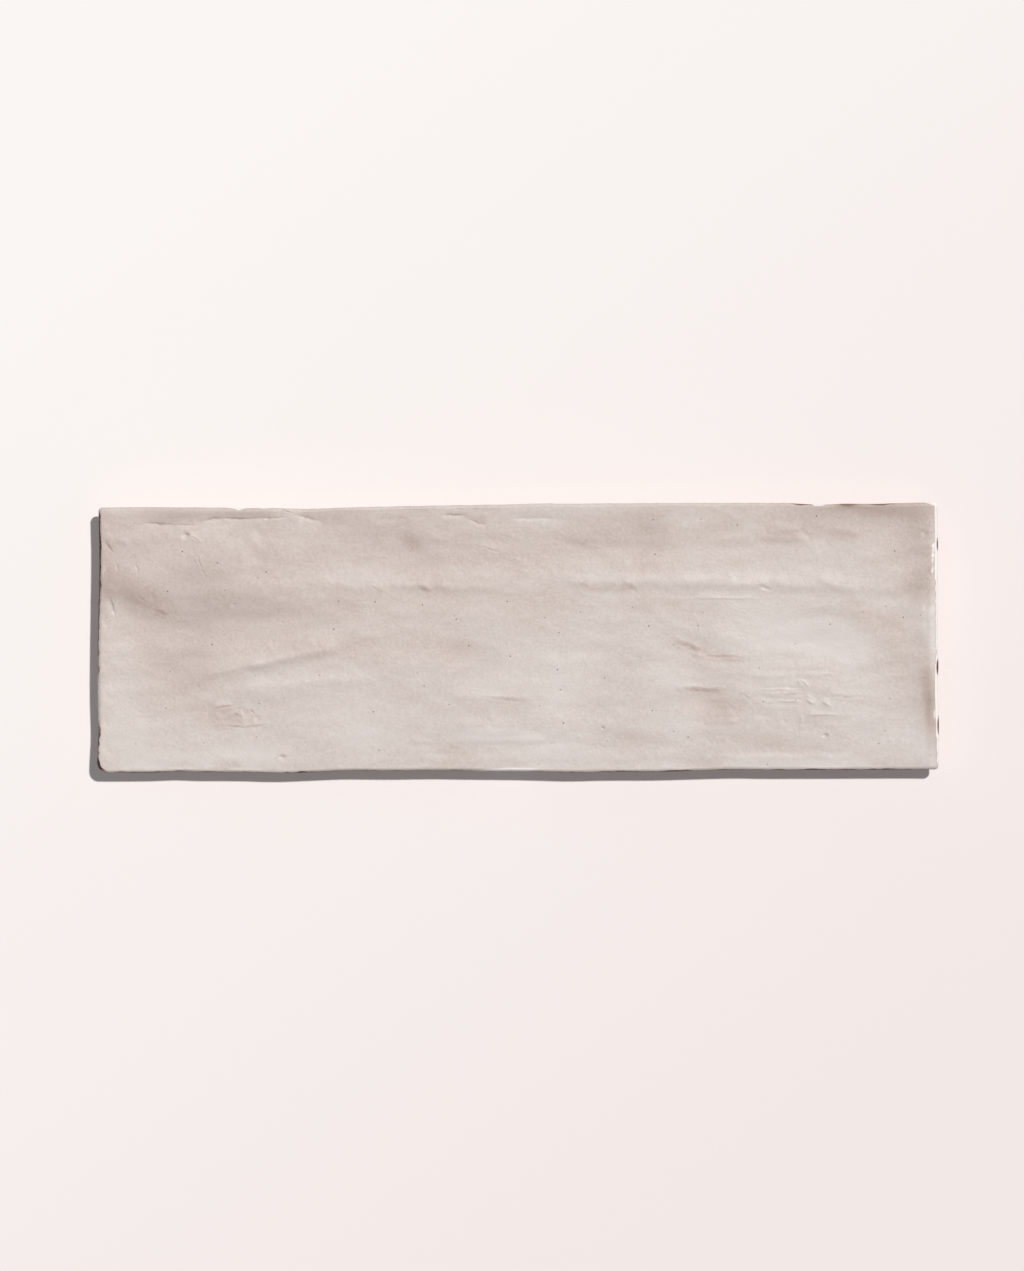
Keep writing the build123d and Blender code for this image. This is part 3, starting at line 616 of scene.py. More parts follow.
SEAMS = (
    # Under the lip that is folded back along the north edge.
    Seam((-89.2, 27.7), (-81.2, 27.2), 0.15), Seam((-83.0, 27.2), (-75.2, 27.1), 0.07),
    Seam((-74.8, 28.0), (-72.2, 28.7), 0.10), Seam((-73.4, 28.7), (-70.4, 28.6), 0.14, 0.5),
    Seam((-71.6, 28.7), (-61.5, 28.6), 0.15), Seam((-64.0, 28.6), (-54.0, 28.8), 0.08),
    Seam((-57.4, 31.3), (-53.4, 29.7), 0.12, 0.35), Seam((-53.4, 29.5), (-46.6, 27.9), 0.07, 0.5),
    Seam((-17.8, 29.3), (-12.2, 29.1), 0.13, 0.45), Seam((-11.6, 27.9), (-7.4, 26.9), 0.12, 0.45),
    Seam((-2.0, 28.3), (10.0, 28.4), 0.05, 0.5), Seam((-8.4, 21.6), (-4.0, 20.2), 0.05),
    # Scratches in the north-west.
    Seam((-98.6, 23.2), (-96.4, 20.7), 0.13, 0.5), Seam((-95.8, 18.6), (-95.2, 16.2), 0.05),
    Seam((-91.2, 18.6), (-90.5, 15.0), 0.05), Seam((-97.4, 10.2), (-96.0, 5.2), 0.11, 0.45),
    Seam((-76.4, 20.2), (-75.4, 16.6), 0.07), Seam((-75.4, 16.8), (-74.4, 14.4), 0.05),
    Seam((-79.4, 25.2), (-78.0, 24.6), 0.14, 0.5), Seam((-78.2, 24.6), (-76.0, 23.2), 0.06),
    Seam((-91.0, 10.4), (-88.2, 8.6), 0.07, 0.6), Seam((-86.4, 6.8), (-83.2, 5.6), 0.10, 0.6),
    # Nicks along the long ridge.
    Seam((-35.2, 12.6), (-33.0, 11.2), 0.06), Seam((-24.4, 12.4), (-20.6, 10.8), 0.10, 0.8),
    Seam((14.0, 12.6), (17.4, 11.8), 0.06, 0.7), Seam((25.4, 12.8), (28.8, 10.7), 0.09, 0.8),
    Seam((57.2, 12.2), (61.0, 11.1), 0.09, 0.6), Seam((38.0, 9.3), (59.0, 9.1), -0.05, 0.45),
    Seam((74.4, 25.4), (82.6, 23.3), 0.06, 1.1),
    # Cuts in the middle.
    Seam((36.8, -0.6), (46.2, -4.9), 0.09, 1.0), Seam((43.4, -4.8), (54.0, -5.1), 0.10, 0.6),
    Seam((38.4, -12.2), (45.8, -13.1), 0.12, 0.9), Seam((43.0, -13.0), (50.4, -12.8), 0.12, 0.9),
    Seam((-8.6, -14.3), (3.6, -15.3), 0.10, 0.8), Seam((-18.6, -26.1), (-12.4, -26.6), 0.06, 0.9),
    Seam((19.6, -21.2), (20.8, -21.9), 0.14, 0.5),
    # The square print and the pits in the south-west.
    Seam((-73.0, -16.8), (-67.0, -15.9), 0.11, 0.5), Seam((-68.6, -18.2), (-66.2, -18.6), 0.15, 0.7),
    Seam((-70.4, -20.8), (-64.8, -21.3), 0.07, 0.5), Seam((-66.8, -21.3), (-58.6, -20.4), 0.07, 0.5),
    Seam((-66.2, -16.8), (-65.6, -20.0), -0.10, 0.5), Seam((-64.2, -16.7), (-62.6, -18.0), 0.09, 0.45),
    Seam((-57.4, -28.2), (-55.2, -28.3), 0.13, 0.45),
    # Strokes of the wiped patch in the east.
    Seam((57.0, -12.7), (68.6, -12.7), -0.09, 0.5), Seam((61.4, -13.9), (69.4, -13.9), 0.07, 0.6),
    Seam((61.6, -15.4), (67.4, -15.5), -0.07, 0.4), Seam((67.2, -10.2), (69.8, -12.2), -0.10, 0.5),
    Seam((68.6, -15.0), (70.8, -16.4), -0.12, 0.5), Seam((72.4, -15.4), (74.8, -16.8), -0.12, 0.5),
    Seam((68.4, -18.7), (76.6, -18.7), -0.09, 0.45), Seam((67.6, -18.4), (67.5, -22.0), -0.07, 0.45),
    Seam((73.6, -14.4), (84.0, -14.7), 0.06, 0.6), Seam((72.2, -9.4), (75.4, -9.8), 0.06, 0.6),
    Seam((53.4, -13.3), (55.4, -15.3), 0.06, 0.5), Seam((72.6, -23.7), (74.4, -23.8), 0.10, 0.6),
)


# Outline: four wandering edges and four round corners


@dataclass(frozen=True)
class Corner:
    """A rounded corner. Its pushes move it outward along and across the tile."""

    radius: float
    along: float
    across: float


@dataclass(frozen=True)
class Bow:
    """A stretch of an edge that stands proud of its straight line, or shy of it.

    Its place and reach are shares of half the edge, and its push is in millimetres.
    """

    place: float
    reach: float
    push: float


NORTH_WEST = Corner(1.0, 0.00, -0.46)
NORTH_EAST = Corner(1.0, 0.35, -0.15)
SOUTH_EAST = Corner(1.0, 0.35, 0.10)
SOUTH_WEST = Corner(2.5, 0.60, 0.00)

NORTH_BOWS = (
    Bow(-0.90, 0.08, 0.10),
    Bow(-0.665, 0.025, -0.20),  # the nick in the north edge
    Bow(-0.50, 0.22, -0.38),
    Bow(-0.50, 0.05, -0.22),
    Bow(0.05, 0.05, 0.16),
    Bow(0.30, 0.40, 0.32),
    Bow(0.72, 0.05, -0.38),
    Bow(0.84, 0.06, -0.24),
)
SOUTH_BOWS = (
    Bow(-0.80, 0.04, -0.22),
    Bow(-0.56, 0.07, 0.28),
    Bow(-0.39, 0.07, -0.26),
    Bow(-0.20, 0.12, -0.24),
    Bow(0.14, 0.09, 0.38),
    Bow(0.32, 0.10, 0.28),
    Bow(0.53, 0.06, -0.14),
)
WEST_BOWS = (
    Bow(-0.66, 0.20, -0.30),
    Bow(0.56, 0.34, -0.26),
)
EAST_BOWS = (
    Bow(-0.68, 0.12, 0.10),
    Bow(-0.40, 0.16, -0.08),
    Bow(0.26, 0.20, -0.10),
    Bow(0.68, 0.12, 0.06),
)


@dataclass(frozen=True)
class Side:
    """One edge of the tile, drawn anticlockwise from its first corner to its last."""

    heading: tuple[int, int]
    first: Corner
    last: Corner
    bows: tuple[Bow, ...]
    fade: float = 6.0

    def points(self, half_length: float, half_width: float, runs: int, arcs: int) -> Array:
        """Points from the middle of one corner's arc to the middle of the next one's.

        Between the arcs a point stands off the straight line between the corners by
        the sum of the bows, each a bell curve, which die away towards the corners.

        Args:
            half_length: Half the tile's length.
            half_width: Half the tile's width.
            runs: Steps between the two arcs.
            arcs: Steps over each half arc.

        Returns:
            The points, one row each.
        """
        east, north = self.heading
        ahead, out = np.array([east, north]), np.array([north, -east])
        half_run, half_gap = half_length, half_width
        pushes = [(self.first.along, self.first.across), (self.last.along, self.last.across)]
        if north:
            half_run, half_gap = half_gap, half_run
            pushes = [(across, along) for along, across in pushes]
        start = self.first.radius - half_run - pushes[0][0]
        finish = half_run + pushes[1][0] - self.last.radius
        share = np.linspace(0.0, 1.0, runs + 1)
        run = start + (finish - start) * share
        gap = half_gap + pushes[0][1] * (1.0 - share) + pushes[1][1] * share
        fade = np.clip(np.minimum(run - start, finish - run) / self.fade, 0.0, 1.0)
        place = (east + north) * run / half_run
        for bow in self.bows:
            gap = gap + fade * bow.push * np.exp(-(((place - bow.place) / bow.reach) ** 2))
        middle = run[:, None] * ahead + gap[:, None] * out
        turn = np.linspace(0.0, pi / 4.0, arcs + 1)[1:, None]
        first_centre = middle[0] - out * self.first.radius
        last_centre = middle[-1] - out * self.last.radius
        before = first_centre + self.first.radius * (np.cos(turn) * out - np.sin(turn) * ahead)
        after = last_centre + self.last.radius * (np.cos(turn) * out + np.sin(turn) * ahead)
        return np.vstack([before[::-1], middle, after])


SIDES = (
    Side((1, 0), SOUTH_WEST, SOUTH_EAST, SOUTH_BOWS),
    Side((0, 1), SOUTH_EAST, NORTH_EAST, EAST_BOWS),
    Side((-1, 0), NORTH_EAST, NORTH_WEST, NORTH_BOWS),
    Side((0, -1), NORTH_WEST, SOUTH_WEST, WEST_BOWS),
)


# Edges: how far the glaze reaches over them, and what shows where it ends


@dataclass(frozen=True)
class EdgeGlaze:
    """Where the glaze ends, measured outward over the skin from where the rim turns."""

    west: float = 0.50
    south: float = 0.82
    east: float = 0.20
    north: float = 1.60
    end_band: float = 98.0  # past this place along the tile an end's own reach holds
    north_band: float = 30.0  # past this place across the tile the north edge's does
    marks: tuple[Feature, ...] = (
        # Where it thins out, draws back or has chipped off along the east edge.
        Swell((99.7, 27.0), (5.0, 1.5), 90, -0.40), Swell((99.6, 21.0), (1.0, 1.2), 90, -1.1),
        Swell((99.5, 18.0), (2.6, 0.9), 90, -0.62), Swell((99.9, 30.0), (2.0, 0.8), 90, -1.0),
        Swell((99.2, -31.6), (1.4, 1.2), 0, 0.6), Swell((99.7, -10.0), (3.0, 1.5), 90, -0.45),
        Swell((99.6, -15.0), (3.6, 1.4), 90, -0.90),
        Ticks((99.4, 23.5), (99.3, 13.0), 11, (0.6, 0.5), 90, -0.9, 0.2, 31),
        Ticks((99.4, -9.0), (99.4, -24.0), 9, (0.6, 0.4), 90, -0.35, 0.1, 35),
        Swell((99.5, -18.8), (1.6, 1.0), 90, -0.55), Swell((99.7, -22.4), (2.2, 1.2), 90, -0.4),
        # Where the clay or the engobe shows along the north edge.
        Swell((98.9, 32.0), (1.9, 0.8), -14, -2.5), Swell((67.5, 31.7), (2.3, 0.9), 0, -1.75),
        Swell((72.0, 31.7), (1.8, 1.1), 0, -2.0), Swell((78.8, 31.7), (2.4, 1.1), 0, -2.3),
        Swell((86.5, 31.7), (3.0, 0.9), 0, -1.9), Swell((-66.4, 31.3), (1.1, 0.9), 0, -1.9),
        Swell((-60.4, 31.3), (0.8, 0.8), 0, -1.3),
        # Where the clay shows more, or not at all, along the south and west edges.
        Swell((-90.0, -31.9), (5.0, 1.5), 0, -0.12), Swell((-51.0, -31.9), (3.5, 1.5), 0, -0.16),
        Swell((36.0, -31.9), (9.0, 1.5), 0, -0.06), Swell((-99.6, 24.0), (9.0, 1.5), 90, -0.14),
        Swell((-99.9, 12.5), (2.0, 1.5), 90, -0.15), Swell((-100.0, -16.0), (7.0, 1.5), 90, 0.22),
        Ticks((-99.9, -3.0), (-99.9, -28.5), 12, (0.7, 0.5), 90, -0.45, 0.1, 32),
        Ticks((-99.5, 31.0), (-99.7, 4.0), 13, (0.9, 0.5), 90, -0.22, 0.1, 33),
        Ticks((-95.0, -31.7), (97.0, -31.8), 36, (1.8, 0.5), 0, -0.30, 0.1, 34),
        Swell((-100.0, -30.4), (2.0, 1.5), -62, -0.75),
    )
    # Above 0 the white engobe shows: at chips, and as a painted highlight along the rims, most of all
    # the lit north and east ones. Below 0 the clay darkens: scorched on the north and east edges, and
    # painted shade along the west and south edges and the south-west corner.
    engobe: tuple[Feature, ...] = (
        Swell((100.9, 0.0), (90.0, 1.5), 90, 1.0), Swell((99.3, 18.4), (3.4, 0.7), 90, 0.12),
        Ticks((99.2, 21.8), (98.8, 14.8), 9, (0.55, 0.35), 60, 0.85, 0.3, 36),
        Swell((99.2, -18.8), (1.6, 0.5), 90, 0.55), Swell((99.4, 32.2), (1.8, 1.1), -15, 1.0),
        Swell((72.0, 32.0), (1.5, 1.0), 0, 1.0), Swell((-66.4, 31.4), (1.5, 0.8), 0, 1.0),
        Swell((-60.4, 31.5), (1.2, 0.7), 0, 0.9), Swell((0.0, 32.6), (95.0, 0.7), 0, 0.6),
        Swell((67.3, 31.9), (2.2, 1.2), 0, -0.45), Swell((78.8, 31.7), (2.6, 1.2), 0, -0.3),
        Swell((86.8, 31.9), (3.0, 1.2), 0, -0.35), Swell((-100.0, -14.0), (11.0, 0.5), 90, 0.5),
        Swell((-1.5, -31.5), (8.5, 0.45), 0, 1.5), Swell((0.0, -32.6), (96.0, 0.8), 0, -0.5),
        Swell((-99.9, 21.0), (13.0, 1.5), 90, -0.8), Swell((-100.2, -2.0), (7.0, 1.5), 90, -0.5),
        Swell((-100.2, -23.5), (3.0, 1.5), 90, -0.8), Swell((-100.3, -29.9), (1.4, 1.3), 112, -1.7),
        Swell((-89.5, -32.0), (4.0, 1.5), 0, -0.9), Swell((-50.5, -32.2), (3.5, 1.5), 0, -0.7),
        Swell((34.0, -32.2), (11.0, 1.5), 0, -0.4), Swell((80.0, -32.0), (16.0, 1.5), 0, -0.7),
        Swell((100.5, 21.7), (1.7, 0.40), 90, -2.0), Swell((100.5, -7.5), (1.6, 0.45), 90, -3.8),
        Swell((100.5, -21.4), (2.3, 0.40), 90, -2.3),
    )
    bulges: tuple[Feature, ...] = (
        Swell((100.2, 21.7), (1.7, 3.0), 90, 0.12), Swell((100.2, -7.5), (1.6, 3.0), 90, 0.22),
        Swell((100.2, -21.5), (2.4, 3.0), 90, 0.12),
    )

    def reach(self, x: Array, y: Array) -> Array:
        """How far the glaze reaches outward: a share of each side's, and the marks.

        Args:
            x: Places along the tile.
            y: Places across the tile.

        Returns:
            The reaches, negative where it ends short of the rim's turn.
        """
        east = smooth_step(x - self.end_band)
        west = smooth_step(-self.end_band - x)
        north = smooth_step(y - self.north_band)
        total = self.south + (self.west - self.south) * west + (self.east - self.south) * east
        total = total + (self.north - total) * north
        return total + added_up(self.marks, x, y)

    def pale(self, x: Array, y: Array) -> Array:
        """How far the white engobe shows, to 1, partly as a painted highlight along the rims; how dark
        the clay is, to -1, scorched on the north and east edges and with painted shade along the west
        and south.
        """
        return np.clip(added_up(self.engobe, x, y), -1.0, 1.0)

    def bulge(self, x: Array, y: Array) -> Array:
        """How far the clay stands out under the rim where it was dragged over it."""
        return added_up(self.bulges, x, y)


# Meshes


SHARP_CORNER = 38.0  # degrees between two faces, past which their corner isn't smoothed


@dataclass
class MeshStore:
    """Collects the corners and faces of one piece before they become a mesh."""

    corners: list[Array] = field(default_factory=list)
    faces: list[list[int]] = field(default_factory=list)
    values: dict[str, list[Array]] = field(default_factory=dict)

    def add_points(self, points: Array, **values: Array) -> Array:
        """Adds points, each with the surface values that its finish reads.

        Args:
            points: One row for each point, in millimetres.
            **values: One number for each point, by the name of its attribute.

        Returns:
            The new points' numbers.
        """
        first = sum(len(block) for block in self.corners)
        self.corners.append(points.reshape(-1, 3))
        count = len(self.corners[-1])
        for name, numbers in values.items():
            spread = np.broadcast_to(numbers, points.shape[:-1]).reshape(-1)
            self.values.setdefault(name, []).append(spread)
        return np.arange(first, first + count).reshape(points.shape[:-1])

    def add_grid(self, numbers: Array, closed: bool = False) -> None:
        """Adds the quads between neighbouring rows and columns of numbered points.

        Args:
            numbers: The points' numbers, by row and column.
            closed: Whether the last column meets the first.
        """
        if closed:
            numbers = np.hstack([numbers, numbers[:, :1]])
        quads = np.stack(
            [numbers[:-1, :-1], numbers[:-1, 1:], numbers[1:, 1:], numbers[1:, :-1]], -1
        )
        self.faces.extend(quads.reshape(-1, 4).tolist())

    def to_object(self, name: str) -> bpy.types.Object:
        """Makes the mesh object, in metres, with smooth shading and sharp corners.

        Args:
            name: The piece's name.

        Returns:
            The new object, in the scene.
        """
        mesh = bpy.data.meshes.new(name)
        mesh.from_pydata((np.vstack(self.corners) * METRES).tolist(), [], self.faces)
        for key, blocks in self.values.items():
            layer = mesh.attributes.new(key, "FLOAT", "POINT")
            layer.data.foreach_set("value", np.concatenate(blocks).astype(np.float32))
        mesh.polygons.foreach_set("use_smooth", np.ones(len(mesh.polygons), bool))
        mesh.set_sharp_from_angle(angle=radians(SHARP_CORNER))
        mesh.validate()
        piece = bpy.data.objects.new(name, mesh)
        bpy.context.scene.collection.objects.link(piece)
        return piece


@dataclass
class Tile:
    """The whole tile: waved glazed face, rolled rim, cut-back walls and keyed back."""

    length: float = 200.0
    width: float = 63.8
    arris_height: float = 6.9
    wall_lean: float = 0.2
    bed_tuck: float = 2.2
    rim_round: float = 0.6
    arris_round: float = 0.3
    bed_chamfer: float = 0.4
    engobe_drop: float = 2.0  # how far down the wall the engobe runs, and then fades
    engobe_fade: float = 0.6
    wear: float = 0.05  # how far the wall under the rim stands in, unevenly
    wear_waves: Point = (6.0, 4.0)
    wear_seed: int = 35
    wear_fade: float = 1.5  # over this drop from the rim the wear and the drag set in
    drag_foot: float = 3.5  # the dragged clay ends at this height, and fades over the next
    drag_fade: float = 2.0
    key_depth: float = 0.7
    key_width: float = 5.4
    key_rib: float = 3.2
    key_rim: float = 5.0
    key_draft: float = 22.0
    long_steps: int = 470
    short_steps: int = 150
    arc_steps: int = 6
    rim_steps: int = 5
    band_steps: int = 3
    bevel_steps: int = 3
    key_steps: int = 14
    relief: Relief = field(default_factory=Relief)
    edge_glaze: EdgeGlaze = field(default_factory=EdgeGlaze)

    def outline(self) -> tuple[Array, Array]:
        """The arris's closed outline and its outward normals.

        A normal is the direction between a point's two neighbours, turned a quarter.

        Returns:
            The points and the normals, one row each.
        """
        parts = []
        for side in SIDES:
            steps = self.short_steps if side.heading[1] else self.long_steps
            points = side.points(self.length / 2, self.width / 2, steps, self.arc_steps)
            parts.append(points[:-1])
        loop = np.vstack(parts)
        along = np.roll(loop, -1, 0) - np.roll(loop, 1, 0)
        along /= np.linalg.norm(along, axis=1, keepdims=True)
        return loop, np.stack([along[:, 1], -along[:, 0]], 1)

    def wall_inset(self, height: Array) -> Array:
        """How far the wall stands inside the arris: in proportion to the way from it.

        Args:
            height: Heights over the bed.

        Returns:
            The insets.
        """
        above = (height - self.arris_height) / (self.relief.level - self.arris_height)
        below = (self.arris_height - height) / self.arris_height
        lean = self.wall_lean * np.maximum(above, 0.0)
        return lean + self.bed_tuck * np.maximum(below, 0.0)

    def skin(self, x: Array, y: Array, edge: Array) -> dict[str, Array]:
        """What the finish reads at each point of the skin.

        Args:
            x: Places along the tile.
            y: Places across the tile.
            edge: How far outward over the skin each point lies from the rim's turn.

        Returns:
            The glaze's thinness, partly painted shading, the edge distance, the glaze's reach and the
            engobe, partly painted highlight and shade.
        """
        dropped = smooth_step((edge - self.engobe_drop) / self.engobe_fade)
        return {
            "thin": self.relief.thinness(x, y),
            "edge": edge,
            "reach": self.edge_glaze.reach(x, y),
            "pale": self.edge_glaze.pale(x, y) * (1.0 - dropped),
        }

    def face_grid(self, rim: Array) -> Array:
        """The face's places in plan, spanned between the four sides of its rim.

        Each place is the sum of the two blends between opposite sides, less the blend
        between the four corners.

        Args:
            rim: The face's closed outline.

        Returns:
            The places, by row from south to north and column from west to east.
        """
        columns = self.long_steps + 2 * self.arc_steps
        rows = self.short_steps + 2 * self.arc_steps
        ring = np.vstack([rim, rim[:1]])
        south = ring[: columns + 1]
        east = ring[columns : columns + rows + 1]
        north = ring[columns + rows : 2 * columns + rows + 1][::-1]
        west = ring[2 * columns + rows :][::-1]
        u = np.linspace(0.0, 1.0, columns + 1)[None, :, None]
        v = np.linspace(0.0, 1.0, rows + 1)[:, None, None]
        across = (1.0 - v) * south[None] + v * north[None]
        along = (1.0 - u) * west[:, None] + u * east[:, None]
        corners = (
            (1.0 - u) * (1.0 - v) * south[0]
            + u * (1.0 - v) * south[-1]
            + (1.0 - u) * v * north[0]
            + u * v * north[-1]
        )
        return across + along - corners

    def build(self) -> bpy.types.Object:
        """Builds the tile as one closed mesh.

        Returns:
            The tile's object, in the frame's own place.
        """
        store = MeshStore()
        self.add_face(store, self.add_wall(store))
        tile = store.to_object("tile")
        self.seat(tile)
        return tile

    def add_wall(self, store: MeshStore) -> Array:
        """Adds the rolled rim, the upright band, the cut-back bevel and the keyed bed.

        The rim is a quarter circle from the face to the wall. Under it rows of points
        share out the band down to the arris and the bevel down to the chamfer. A point
        is set in against the outline's normal by the wall's lean at the most, and what
        is left draws it in towards the middle, so that no tight corner folds over.

        Args:
            store: Takes the points and faces.

        Returns:
            The numbers of the rim's highest row.
        """
        loop, out = self.outline()
        x, y = loop[:, 0], loop[:, 1]
        top = self.relief.height(x, y)
        foot = top - self.rim_round
        roll = np.linspace(0.0, pi / 2.0, self.rim_steps + 1)[:, None]
        band = np.linspace(0.0, 1.0, self.band_steps + 1)[1:, None]
        bevel = np.linspace(0.0, 1.0, self.bevel_steps + 1)[:, None]
        high = top - self.rim_round * (1.0 - np.cos(roll))
        shy = self.wall_inset(foot) + self.rim_round * (1.0 - np.sin(roll))
        band_low = self.arris_height + self.arris_round
        bevel_high = self.arris_height - self.arris_round + 0.0 * top
        low = np.vstack(
            [
                foot * (1.0 - band) + band_low * band,
                bevel_high * (1.0 - bevel) + self.bed_chamfer * bevel,
            ]
        )
        worn = 0.5 + 0.5 * ripple(x + y, low, self.wear_waves, self.wear_seed)
        near = smooth_step((foot - low) / self.wear_fade)
        over_foot = smooth_step((low - self.drag_foot) / self.drag_fade)
        dragged = self.edge_glaze.bulge(x, y) * near * over_foot
        low_shy = self.wall_inset(low) + self.wear * worn * near - dragged
        bed_shy = low_shy[-1:] + self.bed_chamfer
        height = np.vstack([high, low, 0.0 * bed_shy])
        under_shy = np.vstack([low_shy, bed_shy])
        drawn = np.vstack([0.0 * shy, np.maximum(under_shy - self.wall_lean, 0.0)])[:, :, None]
        inset = np.vstack([shy, under_shy])[:, :, None] - drawn
        mitre = 2.0 * loop / np.array([self.length, self.width])
        plan = loop[None] - out[None] * inset - mitre[None] * drawn
        turned = self.rim_round * roll + 0.0 * top
        under = self.rim_round * (pi / 2.0 - 1.0) + top - height[len(high) :]
        edge = np.vstack([turned, under])
        points = np.dstack([plan, height])
        numbers = store.add_points(points, **self.skin(plan[..., 0], plan[..., 1], edge))
        store.add_grid(numbers[::-1], closed=True)
        self.add_bed(store, numbers[-1], points[-1])
        return numbers[0]

    def add_face(self, store: MeshStore, rim: Array) -> None:
        """Adds the waved face inside its rim.

        Args:
            store: Takes the points and faces.
            rim: The numbers of the rim's highest row.
        """
        plan = self.face_grid(store.corners[0][: len(rim), :2])
        rows, columns = (count - 1 for count in plan.shape[:2])
        inner = plan[1:-1, 1:-1]
        x, y = inner[..., 0], inner[..., 1]
        across = np.arange(1, rows)[:, None] / rows
        along = np.arange(1, columns)[None] / columns
        inside = np.minimum(
            np.minimum(along, 1.0 - along) * self.length,
            np.minimum(across, 1.0 - across) * self.width,
        )
        points = np.dstack([inner, self.relief.height(x, y)])
        numbers = np.zeros(plan.shape[:2], int)
        numbers[1:-1, 1:-1] = store.add_points(points, **self.skin(x, y, -inside))
        ring = np.append(rim, rim[0])
        numbers[0] = ring[: columns + 1]
        numbers[:, -1] = ring[columns : columns + rows + 1]
        numbers[-1] = ring[columns + rows : 2 * columns + rows + 1][::-1]
        numbers[:, 0] = ring[2 * columns + rows :][::-1]
        store.add_grid(numbers)

    def key_loop(self, middle: float, radius: float, height: float) -> Array:
        """One closed slot outline: two half circles joined by straight runs.

        Args:
            middle: The slot's place across the tile.
            radius: Half its width.
            height: Its level over the bed.

        Returns:
            The points, anticlockwise from above.
        """
        reach = self.length / 2 - self.bed_tuck - self.key_rim - self.key_width / 2
        turn = np.linspace(-pi / 2.0, pi / 2.0, self.key_steps + 1)
        x = np.concatenate([reach + radius * np.cos(turn), -reach - radius * np.cos(turn)])
        y = np.concatenate([radius * np.sin(turn), -radius * np.sin(turn)])
        return np.stack([x, y + middle, np.full(x.shape, height)], 1)

    def add_bed(self, store: MeshStore, ring: Array, points: Array) -> None:
        """Adds the flat bed, cut by its drafted keying grooves.

        Args:
            store: Takes the points and faces.
            ring: The numbers of the bed's outline.
            points: The bed's outline.
        """
        pitch = self.key_width + self.key_rib
        plain = 2.0 * (self.bed_tuck + self.key_rim)
        count = int((self.width - plain + self.key_rib) // pitch)
        mouth = self.key_width / 2
        floor = mouth - self.key_depth * tan(radians(self.key_draft))
        loops, numbers = [points], [ring]
        for key in range(count):
            middle = (key - (count - 1) / 2) * pitch
            rows = [
                self.key_loop(middle, mouth, 0.0),
                self.key_loop(middle, floor, self.key_depth),
            ]
            made = store.add_points(np.stack(rows), thin=0.0, edge=FAR, reach=0.0, pale=0.0)
            store.add_grid(made, closed=True)
            store.faces.append(made[1][::-1].tolist())
            loops.append(rows[0])
            numbers.append(made[0])
        flat = np.concatenate(numbers)
        outlines = [[Vector(point) for point in loop.tolist()] for loop in loops]
        for triangle in tessellate_polygon(outlines):
            store.faces.append(self.facing_down(flat[list(triangle)], np.vstack(loops), triangle))

    @staticmethod
    def facing_down(numbers: Array, points: Array, triangle: Sequence[int]) -> list[int]:
        """Turns a triangle of the bed so that it faces down.

        Args:
            numbers: The triangle's point numbers in the mesh.
            points: All the bed's points.
            triangle: The triangle's places among them.

        Returns:
            The point numbers, clockwise from above.
        """
        a, b, c = (points[corner][:2] for corner in triangle)
        area = (b[0] - a[0]) * (c[1] - a[1]) - (b[1] - a[1]) * (c[0] - a[0])
        order = numbers.tolist()
        return order[::-1] if area > 0.0 else order

    @staticmethod
    def seat(tile: bpy.types.Object) -> None:
        """Keeps the tile within the frame's box, which trims hundredths at the most.

        Args:
            tile: The tile's object.
        """
        low, high = (np.array(corner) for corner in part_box(NODE))
        flat = np.empty(3 * len(tile.data.vertices))
        tile.data.vertices.foreach_get("co", flat)
        points = flat.reshape(-1, 3)
        log.info("own box %s to %s", points.min(0), points.max(0))
        points = np.clip(points, low, high)
        tile.data.vertices.foreach_set("co", points.ravel())
        tile.data.update()


# Finishes


@dataclass(frozen=True)
class Mottle:
    """Soft noise: its strength, a patch's width, its finer octaves and its stretch.

    The stretch multiplies the place along the tile, so below 1 it draws long streaks.
    """

    strength: float
    size: float
    detail: float = 2.0
    stretch: float = 1.0


class Shade:
    """A number that varies over a surface. Sums written with it add Math nodes."""

    def __init__(self, tree: "ShaderTree", socket: bpy.types.NodeSocket) -> None:
        """Wraps one output socket of a tree.

        Args:
            tree: The tree that the socket is in.
            socket: The output socket.
        """
        self.tree = tree
        self.socket = socket

    def math(self, operation: str, *values: Any) -> "Shade":
        """Adds a Math node.

        Args:
            operation: The node's operation.
            *values: Its values, each a Shade or a number.

        Returns:
            The node's result.
        """
        inputs = dict(enumerate(values))
        return self.tree.add("ShaderNodeMath", {"operation": operation}, inputs)["Value"]

    def __add__(self, other: Any) -> "Shade":
        """The sum."""
        return self.math("ADD", self, other)

    def __radd__(self, other: Any) -> "Shade":
        """The sum, with the number first."""
        return self.math("ADD", other, self)

    def __sub__(self, other: Any) -> "Shade":
        """The difference."""
        return self.math("SUBTRACT", self, other)

    def __rsub__(self, other: Any) -> "Shade":
        """The difference, with the number first."""
        return self.math("SUBTRACT", other, self)

    def __mul__(self, other: Any) -> "Shade":
        """The product."""
        return self.math("MULTIPLY", self, other)

    def __rmul__(self, other: Any) -> "Shade":
        """The product, with the number first."""
        return self.math("MULTIPLY", other, self)

    def __truediv__(self, other: Any) -> "Shade":
        """The quotient."""
        return self.math("DIVIDE", self, other)

    def larger(self, other: Any) -> "Shade":
        """The larger of the two."""
        return self.math("MAXIMUM", self, other)

    def smaller(self, other: Any) -> "Shade":
        """The smaller of the two."""
        return self.math("MINIMUM", self, other)

    def step(self, low: Any, high: Any) -> "Shade":
        """Eases from 0 at one value to 1 at another.

        Args:
            low: The value that gives 0.
            high: The value that gives 1.

        Returns:
            The eased number.
        """
        settings = {"interpolation_type": "SMOOTHSTEP"}
        inputs = {"Value": self, "From Min": low, "From Max": high}
        return self.tree.add("ShaderNodeMapRange", settings, inputs)["Result"]


